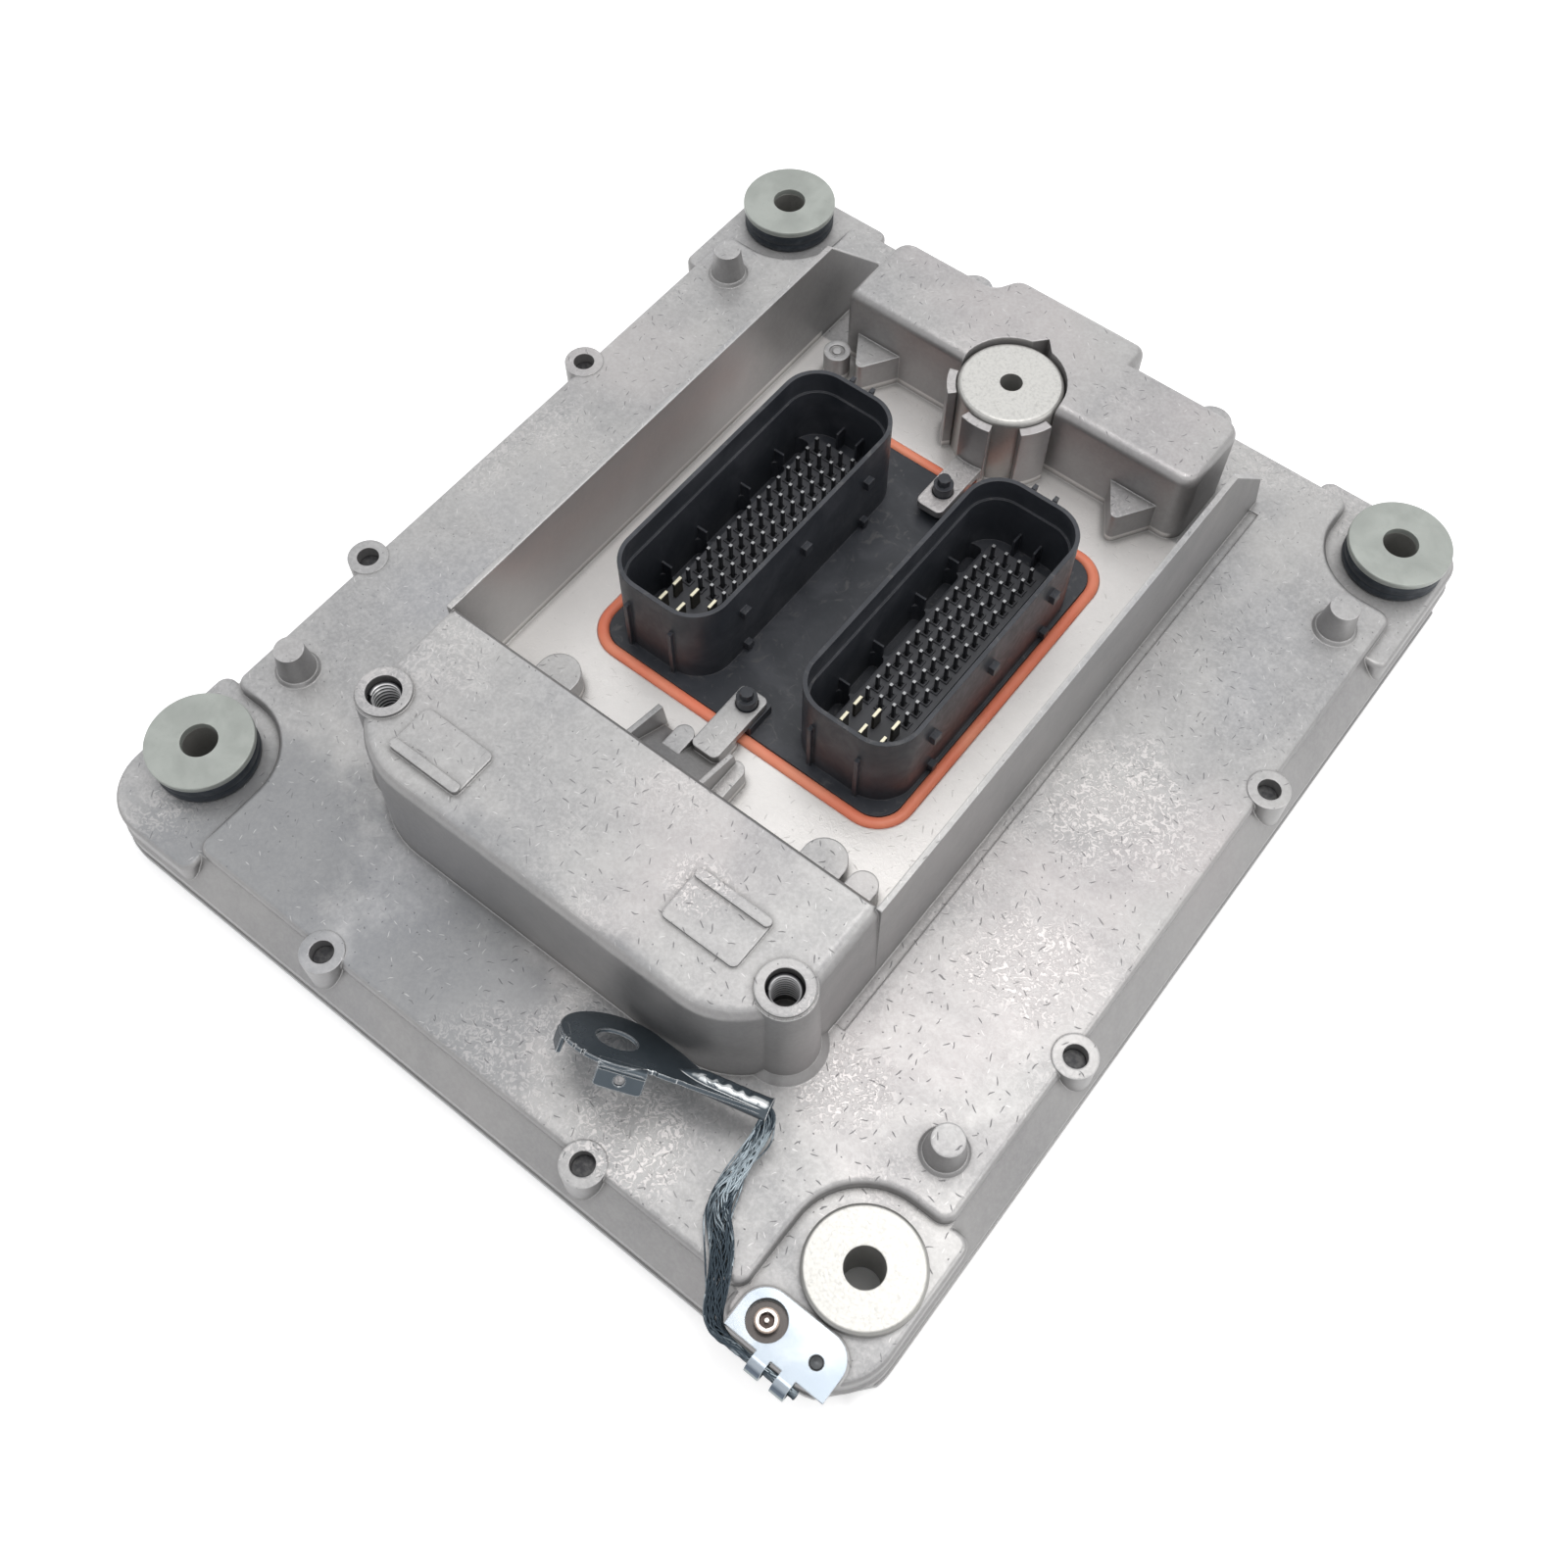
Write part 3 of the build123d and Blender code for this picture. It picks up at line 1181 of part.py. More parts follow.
def strap_bracket():
    """Earthing bracket: plate with a dished screw seat and two crimp loops."""
    high = BRACKET_LOW + BRACKET_THICKNESS
    plate = Pos(0, 0, BRACKET_LOW) * extrude(bracket_sheet(), BRACKET_THICKNESS)
    x, y = GROUND_SCREW_X, GROUND_SCREW_Y
    dish_low = BRACKET_LOW - DISH_DEPTH
    plate += rod(x, y, DISH_RADIUS + DISH_WALL, dish_low, high)
    crimp_y, crimp_z = CRIMP_AXIS
    bore = BRAID_RADIUS + CRIMP_CLEARANCE
    for x_low, x_high in CRIMP_SPANS:
        sheet = Pos(crimp_y, crimp_z) * Circle(bore + CRIMP_WALL)
        plate += Plane.YZ.offset(x_low) * extrude(sheet, x_high - x_low)
        plate += slab(x_low, x_high, crimp_y, BRACKET_FRONT + 1, high - CRIMP_WALL, high)
        hole = Pos(crimp_y, crimp_z) * Circle(bore)
        plate -= Plane.YZ.offset(x_low - 1) * extrude(hole, x_high - x_low + 2)
    plate -= rod(x, y, DISH_RADIUS, dish_low + DISH_WALL, high + 1)
    plate -= rod(x, y, GROUND_SHANK_RADIUS + PEG_CLEARANCE, dish_low - 1, high)
    plate -= rod(PEG_HOLE_X, PEG_HOLE_Y, LOCATING_PEG_RADIUS + PEG_CLEARANCE, BRACKET_LOW - 1, high + 1)
    return plate


def bracket_screw():
    """Screw of the earthing bracket: round head with a hexagon recess and a pin in it."""
    x, y = GROUND_SCREW_X, GROUND_SCREW_Y
    seat = BRACKET_LOW - DISH_DEPTH + DISH_WALL
    top = seat + GROUND_HEAD_HEIGHT
    screw = rod(x, y, GROUND_HEAD_RADIUS, seat, top)
    shank = GROUND_SHANK_RADIUS - THREAD_CLEARANCE
    screw += rod(x, y, shank, seat - GROUND_SHANK_LENGTH + THREAD_CLEARANCE, seat)
    recess = Pos(x, y, seat + GROUND_HEAD_HEIGHT / 3) * extrude(
        RegularPolygon(GROUND_SOCKET_RADIUS, 6), GROUND_HEAD_HEIGHT
    )
    screw -= recess
    return screw + rod(x, y, GROUND_PIN_RADIUS, seat, top)


def braid_path():
    """Straight runs of the braid joined by tangent arcs, with the radius of each arc."""
    points = [Vector(*point) for point in BRAID_POINTS]
    radii = []
    for before, corner, after in zip(points, points[1:], points[2:]):
        arriving = corner - before
        leaving = after - corner
        turn = math.radians(arriving.get_angle(leaving))
        shorter = min(arriving.length, leaving.length)
        radii.append(ARC_SHARE * shorter / math.tan(turn / 2))
    return FilletPolyline(*points, radius=radii), radii


def strap_braid():
    """Tinned braid from the ring terminal to the crimp loops."""
    path, radii = braid_path()
    print("braid radii", [round(radius, 1) for radius in radii], "length", round(path.length, 1))
    section = Plane(origin=path @ 0, z_dir=path % 0) * Circle(BRAID_RADIUS)
    braid = sweep(section, path=path)
    print("braid volume share", round(braid.volume / (math.pi * BRAID_RADIUS**2 * path.length), 4))
    return braid


def ring_plane():
    """Plane of the ring terminal: X along its neck, Y towards its low edge."""
    along = Vector(*RING_ALONG).normalized()
    down = Vector(*RING_DOWN)
    return Plane(origin=RING_CENTRE, x_dir=along, z_dir=along.cross(down))


def edge_tab(angle, offset, width, height):
    """Tab bent down from the edge of the ring."""
    place = Rot(0, 0, angle) * Pos(RING_RADIUS - RING_THICKNESS / 2, offset, 0)
    tab = Box(RING_THICKNESS, width, height)
    corners = tab.edges().filter_by(Axis.X).group_by(Axis.Z)[0]
    tab = fillet(corners, height / 4)
    return place * Pos(0, 0, RING_THICKNESS / 2 - height / 2) * tab


def ring_terminal():
    """Plated ring terminal with two bent tabs and a crimped barrel."""
    disc = Circle(RING_RADIUS)
    neck = make_face(
        Polyline(
            (0, -NECK_NEAR),
            (BARREL_START, -NECK_NEAR),
            (NECK_END, -BARREL_OFFSET - NECK_WIDTH / 4),
            (NECK_END, -BARREL_OFFSET + NECK_WIDTH / 4),
            (RING_RADIUS, NECK_NEAR),
            (RING_RADIUS * math.cos(math.radians(NECK_FAR_ANGLE)),
             RING_RADIUS * math.sin(math.radians(NECK_FAR_ANGLE))),
            close=True,
        )
    )
    body = Pos(0, 0, -RING_THICKNESS / 2) * extrude(disc + neck, RING_THICKNESS)
    near = edge_tab(TAB_ANGLE, TAB_OFFSET, TAB_WIDTH, TAB_HEIGHT)
    hole = Pos(0, 0, -TAB_HEIGHT + 2 * TAB_HOLE_RADIUS) * Rot(0, 90, 0) * Cylinder(TAB_HOLE_RADIUS, 4)
    near -= Rot(0, 0, TAB_ANGLE) * Pos(RING_RADIUS, TAB_OFFSET, 0) * hole
    body += near
    body += edge_tab(END_TAB_ANGLE, 0, END_TAB_WIDTH, END_TAB_HEIGHT)
    bore = BRAID_RADIUS + BARREL_CLEARANCE
    axis = Pos(BARREL_START, -BARREL_OFFSET, 0) * Rot(0, 90, 0)
    length = BARREL_END - BARREL_START
    body += axis * extrude(Circle(bore + BARREL_WALL), length)
    body -= axis * Pos(0, 0, NECK_END - BARREL_START) * extrude(Circle(bore), length)
    body -= Pos(0, 0, -2) * extrude(Circle(RING_BORE_RADIUS), 4)
    return ring_plane() * body


def circuit_board():
    """The board, with holes for its screws and cut-outs at the corners."""
    sheet = cut_corners(casting_outline(CAVITY_RIM + BOARD_GAP), BOARD_CORNER_RADIUS)
    for x, y in board_posts():
        sheet -= Pos(x, y) * Circle(BOARD_SCREW_RADIUS + BOARD_HOLE_CLEARANCE)
    return Pos(0, 0, BOARD_TOP - BOARD_THICKNESS) * extrude(sheet, BOARD_THICKNESS)


def board_screws():
    """Screws that hold the board to the posts of the casting."""
    screws = []
    low = BOARD_TOP - BOARD_THICKNESS
    for x, y in board_posts():
        screw = rod(x, y, BOARD_SCREW_HEAD_RADIUS, low - BOARD_SCREW_HEAD, low)
        shank = BOARD_SCREW_RADIUS - THREAD_CLEARANCE
        screws.append(screw + rod(x, y, shank, low, BOARD_TOP + BOARD_SCREW_LENGTH - 1))
    return Compound(children=screws)


def chip(place, size):
    """A flat component on the board."""
    x, y = place
    width, depth, height = size
    return slab(x - width / 2, x + width / 2, y - depth / 2, y + depth / 2, BOARD_TOP, BOARD_TOP + height)


def processor():
    """Square processor with bevelled top edges."""
    block = chip(PROCESSOR_CENTRE, (PROCESSOR_SIZE, PROCESSOR_SIZE, PROCESSOR_HEIGHT))
    return chamfer(top_edges(block), CHIP_EDGE)


def capacitors(places, radius, height):
    """Upright capacitors on the board."""
    cans = []
    for x, y in places:
        cans.append(rod(x, y, radius, BOARD_TOP, BOARD_TOP + height))
    return Compound(children=cans)


def power_transistors():
    """Row of transistors along the right edge of the board."""
    return Compound(children=[chip((TRANSISTOR_X, y), TRANSISTOR_SIZE) for y in TRANSISTORS_Y])


def heat_pads():
    """Soft pads that carry the transistors' heat to the casting."""
    low = BOARD_TOP + TRANSISTOR_SIZE[2]
    high = PLATEAU_TOP - WALL
    half_x = TRANSISTOR_SIZE[0] / 2
    half_y = TRANSISTOR_SIZE[1] / 2
    x = TRANSISTOR_X
    return Compound(
        children=[slab(x - half_x, x + half_x, y - half_y, y + half_y, low, high) for y in TRANSISTORS_Y]
    )


def save(shape, name):
    """Write one named piece."""
    export_step(shape, f"parts/{name}.step")


save(cast_housing(), "cast_housing")
save(base_plate(), "base_plate")
save(housing_gasket(), "housing_gasket")
save(base_screws(), "base_screws")
save(connector_header(), "connector_header")
save(header_seal(), "header_seal")
for letter, shift in connector_shifts().items():
    save(pin_carrier(shift), f"pin_carrier_{letter}")
    save(pins(signal_places(), PIN_WIDTH, PIN_WIDTH, shift), f"signal_pins_{letter}")
    save(pins(power_places(), POWER_WIDTH, POWER_LENGTH, shift), f"power_pins_{letter}")
SPLIT_Z = (PAD_TOP + FLANGE_TOP) / 2
UPPER_Z = ISOLATOR_TOP - WASHER_THICKNESS
for corner in ("front_left", "rear_right", "rear_left"):
    centre = mount_axes()[corner]
    save(isolator_washer(*centre), f"isolator_washer_{corner}")
    save(rubber_ring(*centre, RUBBER_RADIUS, UPPER_Z, SPLIT_Z), f"isolator_upper_{corner}")
    save(rubber_ring(*centre, LOWER_RUBBER_RADIUS, SLEEVE_FLANGE, SPLIT_Z), f"isolator_lower_{corner}")
    save(isolator_sleeve(*centre), f"isolator_sleeve_{corner}")
save(corner_bush(*mount_axes()["front_right"]), "corner_bush")
save(centre_bush(), "centre_bush")
save(thread_insert(-1), "thread_insert_left")
save(thread_insert(1), "thread_insert_right")
save(strap_bracket(), "strap_bracket")
save(bracket_screw(), "bracket_screw")
save(strap_braid(), "strap_braid")
save(ring_terminal(), "ring_terminal")
save(circuit_board(), "circuit_board")
save(board_screws(), "board_screws")
save(processor(), "processor")
save(chip(MEMORY_CENTRE, MEMORY_SIZE), "memory_chip")
drivers_x = [side * (MOUNT_HALF_X - inset) for side in (-1, 1) for inset in DRIVER_INSETS]
save(Compound(children=[chip((x, DRIVER_Y), DRIVER_SIZE) for x in drivers_x]), "driver_chips")
front_places = [(x, FRONT_CAPACITOR_Y) for x in FRONT_CAPACITORS_X]
save(capacitors(front_places, FRONT_CAPACITOR_RADIUS, FRONT_CAPACITOR_HEIGHT), "front_capacitors")
rear_places = [(x, REAR_CAPACITOR_Y) for x in REAR_CAPACITORS_X]
save(capacitors(rear_places, REAR_CAPACITOR_RADIUS, REAR_CAPACITOR_HEIGHT), "rear_capacitors")
save(power_transistors(), "power_transistors")
save(heat_pads(), "heat_pads")
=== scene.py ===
"""Studio scene of an engine control unit: finishes, earthing strap and fine parts on the fixed model."""

import json
import logging
import math
from dataclasses import dataclass
from enum import Enum
from functools import partial, reduce
from typing import Sequence

import bmesh
import bpy
import numpy as np
from mathutils import Matrix, Vector

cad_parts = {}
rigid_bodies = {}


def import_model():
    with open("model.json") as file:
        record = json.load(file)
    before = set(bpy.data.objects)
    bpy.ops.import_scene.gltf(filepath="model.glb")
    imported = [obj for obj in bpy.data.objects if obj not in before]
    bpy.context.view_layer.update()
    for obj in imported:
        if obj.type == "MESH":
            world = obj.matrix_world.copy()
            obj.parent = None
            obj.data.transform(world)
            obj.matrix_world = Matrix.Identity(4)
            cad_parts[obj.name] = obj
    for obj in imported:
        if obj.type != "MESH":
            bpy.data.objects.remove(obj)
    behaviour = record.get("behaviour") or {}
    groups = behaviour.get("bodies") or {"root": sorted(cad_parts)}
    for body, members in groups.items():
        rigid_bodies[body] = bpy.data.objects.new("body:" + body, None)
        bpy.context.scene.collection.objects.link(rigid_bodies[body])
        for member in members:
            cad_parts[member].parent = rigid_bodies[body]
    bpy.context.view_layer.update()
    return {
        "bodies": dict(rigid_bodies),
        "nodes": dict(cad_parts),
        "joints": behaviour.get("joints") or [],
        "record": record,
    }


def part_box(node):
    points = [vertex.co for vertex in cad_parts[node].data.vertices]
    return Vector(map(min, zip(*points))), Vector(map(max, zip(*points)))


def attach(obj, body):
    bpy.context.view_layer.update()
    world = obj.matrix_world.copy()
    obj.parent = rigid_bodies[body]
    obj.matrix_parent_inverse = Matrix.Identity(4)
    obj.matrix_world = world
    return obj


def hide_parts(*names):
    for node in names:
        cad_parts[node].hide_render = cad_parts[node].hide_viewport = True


LOG = logging.getLogger("scene")

MM = 0.001
BODY = "root"
TURN = 2 * math.pi

Colour = tuple[float, float, float]
Place = tuple[float, float, float]
Spot = tuple[float, float]
Socket = bpy.types.NodeSocket

THREAD_AXES: tuple[Spot, ...] = ((-56.6, -87.0), (56.6, -87.0))
CENTRE_AXIS: Spot = (0.0, 78.5)
BUSH_AXIS: Spot = (99.5, -115.0)
BRACKET_SCREW: Spot = (89.9, -135.6)
BRACKET_PEG: Spot = (102.9, -135.9)
TONE = "tone"


class Slot(Enum):
    """Material slots of the record that the pieces take their finish from."""

    CASTING = "cast_aluminium"
    PLATE = "sheet_aluminium"
    RUBBER = "black_rubber"
    ZINC = "zinc_steel"
    HEADER = "header_plastic"
    SEAL = "orange_silicone"
    CARRIER = "carrier_plastic"
    TIN = "tin_pins"
    GOLD = "gold_pins"
    PLAIN = "plain_steel"
    TURNED = "turned_steel"
    WIRE = "stainless_wire"
    BRAID = "tinned_braid"
    TERMINAL = "plated_terminal"
    BOARD = "board_green"
    CHIP = "chip_black"
    CAN = "capacitor_can"
    PAD = "heat_pad"
    WASHER = "washer_steel"


class Corner(Enum):
    """Corners of the casting that stand on rubber."""

    FRONT_LEFT = "front_left"
    REAR_RIGHT = "rear_right"
    REAR_LEFT = "rear_left"


class Side(Enum):
    """Sides of the casting, seen from its low front."""

    LEFT = "left"
    RIGHT = "right"


class Graph:
    """A node tree, and what adds nodes to it and joins them."""

    def __init__(self, tree: bpy.types.NodeTree) -> None:
        """Start with an empty tree."""
        self.tree = tree
        tree.nodes.clear()

    def add(self, kind: str, **values) -> bpy.types.Node:
        """Add a node.

        Args:
            kind: Class name of the node.
            values: Attributes to set on it.

        Returns:
            The new node.
        """
        node = self.tree.nodes.new(kind)
        for key, value in values.items():
            setattr(node, key, value)
        return node

    def link(self, source: Socket, target: Socket) -> None:
        """Join an output socket to an input socket."""
        self.tree.links.new(source, target)

    def feed(self, socket: Socket, value) -> None:
        """Set an input from a number, a colour or another node's output."""
        if isinstance(value, bpy.types.NodeSocket):
            self.link(value, socket)
            return
        if socket.type == "RGBA" and len(value) == 3:
            value = (*value, 1.0)
        socket.default_value = value

    def math(self, operation: str, first, second=None) -> Socket:
        """Scalar arithmetic on sockets or constants."""
        node = self.add("ShaderNodeMath", operation=operation)
        self.feed(node.inputs[0], first)
        if second is not None:
            self.feed(node.inputs[1], second)
        return node.outputs[0]


class Shader(Graph):
    """Builds the node tree of one material.

    Every pattern is laid out on object coordinates in millimetres, so that it stays on the part.
    """

    def __init__(self, name: str) -> None:
        """Start a material that has only its surface.

        Args:
            name: Name of the material.
        """
        self.material = bpy.data.materials.new(name)
        self.material.use_nodes = True
        super().__init__(self.material.node_tree)
        self.output = self.add("ShaderNodeOutputMaterial")
        self.surface = self.add("ShaderNodeBsdfPrincipled")
        self.link(self.surface.outputs["BSDF"], self.output.inputs["Surface"])
        self._place: Socket | None = None
        self._up: Socket | None = None

    def place(self) -> Socket:
        """Object coordinates in millimetres."""
        if self._place is None:
            coordinates = self.add("ShaderNodeTexCoord")
            self._place = self.vector("SCALE", coordinates.outputs["Object"], scale=1 / MM)
        return self._place

    def axis(self, index: int) -> Socket:
        """One object coordinate in millimetres: 0 for X, 1 for Y, 2 for Z."""
        split = self.add("ShaderNodeSeparateXYZ")
        self.link(self.place(), split.inputs[0])
        return split.outputs[index]

    def vector(self, operation: str, first, second=None, scale: float | None = None) -> Socket:
        """Vector arithmetic on sockets or constants.

        Args:
            operation: Name of the operation.
            first: First vector.
            second: Second vector, where the operation has one.
            scale: Factor of the SCALE operation.

        Returns:
            Output socket with the vector, or with the number that the operation gives.
        """
        node = self.add("ShaderNodeVectorMath", operation=operation)
        self.feed(node.inputs[0], first)
        if second is not None:
            self.feed(node.inputs[1], second)
        if scale is not None:
            node.inputs["Scale"].default_value = scale
        return node.outputs["Value"] if operation in ("LENGTH", "DOT_PRODUCT") else node.outputs[0]

    def both(self, *masks: Socket) -> Socket:
        """Product of several masks."""
        return reduce(partial(self.math, "MULTIPLY"), masks)

    def either(self, *masks: Socket) -> Socket:
        """Highest of several masks."""
        return reduce(partial(self.math, "MAXIMUM"), masks)

    def noise(self, size: float, detail: float = 3.0, rough: float = 0.5, warp: float = 0.0) -> Socket:
        """Smooth noise on the part.

        Args:
            size: Size of its largest features in millimetres.
            detail: Octaves of finer features.
            rough: Share of each finer octave.
            warp: How much the noise bends itself.

        Returns:
            Output socket with values round 0.5.
        """
        node = self.add("ShaderNodeTexNoise")
        self.link(self.place(), node.inputs["Vector"])
        node.inputs["Scale"].default_value = 1 / size
        node.inputs["Detail"].default_value = detail
        node.inputs["Roughness"].default_value = rough
        node.inputs["Distortion"].default_value = warp
        return node.outputs["Fac"]

    def ramp(self, value, low: float, high: float, start: float = 0.0, end: float = 1.0) -> Socket:
        """Map low..high onto start..end with a smooth step."""
        node = self.add("ShaderNodeMapRange", interpolation_type="SMOOTHSTEP")
        self.feed(node.inputs["Value"], value)
        node.inputs["From Min"].default_value = low
        node.inputs["From Max"].default_value = high
        node.inputs["To Min"].default_value = start
        node.inputs["To Max"].default_value = end
        return node.outputs["Result"]

    def below(self, value, limit: float, soft: float) -> Socket:
        """1 below the limit and 0 above it; the change is as wide as twice the softness."""
        return self.ramp(value, limit + soft, limit - soft)

    def mix(self, share, first, second) -> Socket:
        """Mix two colours by a share of the second."""
        node = self.add("ShaderNodeMix", data_type="RGBA")
        self.feed(node.inputs[0], share)
        self.feed(node.inputs[6], first)
        self.feed(node.inputs[7], second)
        return node.outputs[2]

    def over(self, mask: Socket, strength: float, base, colour) -> Socket:
        """Lay a colour over the base where a mask says, at a strength from 0 to 1."""
        return self.mix(self.math("MULTIPLY", mask, strength), base, colour)

    def marks(self, cell: float, length: float, width: float, share: float) -> Socket:
        """Short strokes of random place and direction on upward faces.

        Cells of a Voronoi pattern each hold one ellipse, turned by the cell's own random angle.

        Args:
            cell: Size of the cells in millimetres.
            length: Half length of a stroke as a share of the cell.
            width: Half width of a stroke as a share of the cell.
            share: Share of the cells that hold a stroke.

        Returns:
            Output socket that is 1 on a stroke.
        """
        warp = self.noise(cell * 0.7, 1.0)
        spread = self.add("ShaderNodeCombineXYZ")
        self.link(warp, spread.inputs[0])
        self.link(self.math("SUBTRACT", 1.0, warp), spread.inputs[1])
        bent = self.vector("ADD", self.place(), self.vector("SCALE", spread.outputs[0], scale=cell * 0.35))
        scaled = self.vector("SCALE", bent, scale=1 / cell)
        cells = self.add("ShaderNodeTexVoronoi", voronoi_dimensions="2D", feature="F1")
        cells.inputs["Scale"].default_value = 1.0
        self.link(scaled, cells.inputs["Vector"])
        local = self.vector("SUBTRACT", scaled, cells.outputs["Position"])
        split = self.add("ShaderNodeSeparateColor")
        self.link(cells.outputs["Color"], split.inputs[0])
        turn = self.add("ShaderNodeVectorRotate", rotation_type="Z_AXIS")
        self.link(local, turn.inputs["Vector"])
        self.link(self.math("MULTIPLY", split.outputs[0], TURN), turn.inputs["Angle"])
        stretch = self.vector("MULTIPLY", turn.outputs[0], (1 / length, 1 / width, 0.0))
        inside = self.ramp(self.vector("LENGTH", stretch), 1.1, 0.7)
        present = self.math("LESS_THAN", split.outputs[1], share)
        return self.both(inside, present, self.facing_up())

    def facing_up(self) -> Socket:
        """1 on faces that look up, 0 on walls."""
        if self._up is None:
            geometry = self.add("ShaderNodeNewGeometry")
            split = self.add("ShaderNodeSeparateXYZ")
            self.link(geometry.outputs["True Normal"], split.inputs[0])
            self._up = self.ramp(split.outputs[2], 0.75, 0.95)
        return self._up

    def radius(self, centre: Sequence[float]) -> Socket:
        """Distance from an upright axis in millimetres."""
        flat = self.vector("MULTIPLY", self.vector("SUBTRACT", self.place(), (*centre, 0.0)), (1.0, 1.0, 0.0))
        return self.vector("LENGTH", flat)

    def bump(self, height, depth: float, strength: float = 1.0, base: Socket | None = None) -> Socket:
        """Bump from a height field.

        Args:
            height: Output socket with the height from 0 to 1.
            depth: Depth of the relief in millimetres.
            strength: Share of the effect.
            base: Normal to start from.

        Returns:
            Output socket with the normal.
        """
        node = self.add("ShaderNodeBump")
        node.inputs["Strength"].default_value = strength
        node.inputs["Distance"].default_value = depth * MM
        self.feed(node.inputs["Height"], height)
        if base is not None:
            self.link(base, node.inputs["Normal"])
        return node.outputs[0]

    def soft_edges(self, radius: float) -> Socket:
        """Normal that rounds sharp edges over a radius in millimetres."""
        node = self.add("ShaderNodeBevel", samples=6)
        node.inputs["Radius"].default_value = radius * MM
        return node.outputs[0]

    def edge_mask(self, radius: float) -> Socket:
        """1 along edges within a radius in millimetres."""
        geometry = self.add("ShaderNodeNewGeometry")
        match = self.vector("DOT_PRODUCT", geometry.outputs["True Normal"], self.soft_edges(radius))
        return self.ramp(match, 0.99, 0.8)

    def corner_shade_mask(self, reach: float) -> Socket:
        """1 in inner corners within a reach in millimetres, by ambient occlusion: painted shade."""
        node = self.add("ShaderNodeAmbientOcclusion", samples=6, only_local=True)
        node.inputs["Distance"].default_value = reach * MM
        return self.ramp(node.outputs["AO"], 0.93, 0.60)

    def finish(self, **values) -> bpy.types.Material:
        """Set the shader's inputs.

        Args:
            values: Input names with spaces written as underscores, and their values.

        Returns:
            The finished material.
        """
        for key, value in values.items():
            self.feed(self.surface.inputs[key.replace("_", " ")], value)
        return self.material


def dim(colour: Colour, share: float) -> Colour:
    """A colour at a share of its brightness."""
    return tuple(share * value for value in colour)


@dataclass(frozen=True)
class Cloud:
    """Noise on the part that lays one colour over another.

    Attributes:
        size: Size of its largest features in millimetres.
        low: Noise value at which the colour starts to show.
        high: Noise value at which it shows fully.
        strength: How much of it shows there.
        detail: Octaves of finer features.
        rough: Share of each finer octave.
        warp: How much the noise bends itself.
    """

    size: float
    low: float
    high: float
    strength: float = 1.0
    detail: float = 3.0
    rough: float = 0.5
    warp: float = 0.0

    def noise(self, s: Shader) -> Socket:
        """The noise as it is."""
        return s.noise(self.size, self.detail, self.rough, self.warp)

    def mask(self, s: Shader) -> Socket:
        """The noise with low..high spread over 0..strength."""
        return s.ramp(self.noise(s), self.low, self.high, 0.0, self.strength)

    def lay(self, s: Shader, base, colour) -> Socket:
        """Lay a colour over the base."""
        return s.mix(self.mask(s), base, colour)


@dataclass(frozen=True)
class Relief:
    """Fine unevenness over softly rounded edges.

    Attributes:
        size: Size of its features in millimetres.
        depth: Depth in millimetres.
        strength: Share of the effect.
        edge: Radius in millimetres that sharp edges are rounded over, or 0.
        detail: Octaves of finer features.
        rough: Share of each finer octave.
        warp: How much the noise bends itself.
    """

    size: float
    depth: float
    strength: float = 0.4
    edge: float = 0.0
    detail: float = 3.0
    rough: float = 0.5
    warp: float = 0.0

    def normal(self, s: Shader) -> Socket:
        """Bump of the noise on the normal with soft edges."""
        height = s.noise(self.size, self.detail, self.rough, self.warp)
        soft = s.soft_edges(self.edge) if self.edge else None
        return s.bump(height, self.depth, self.strength, soft)


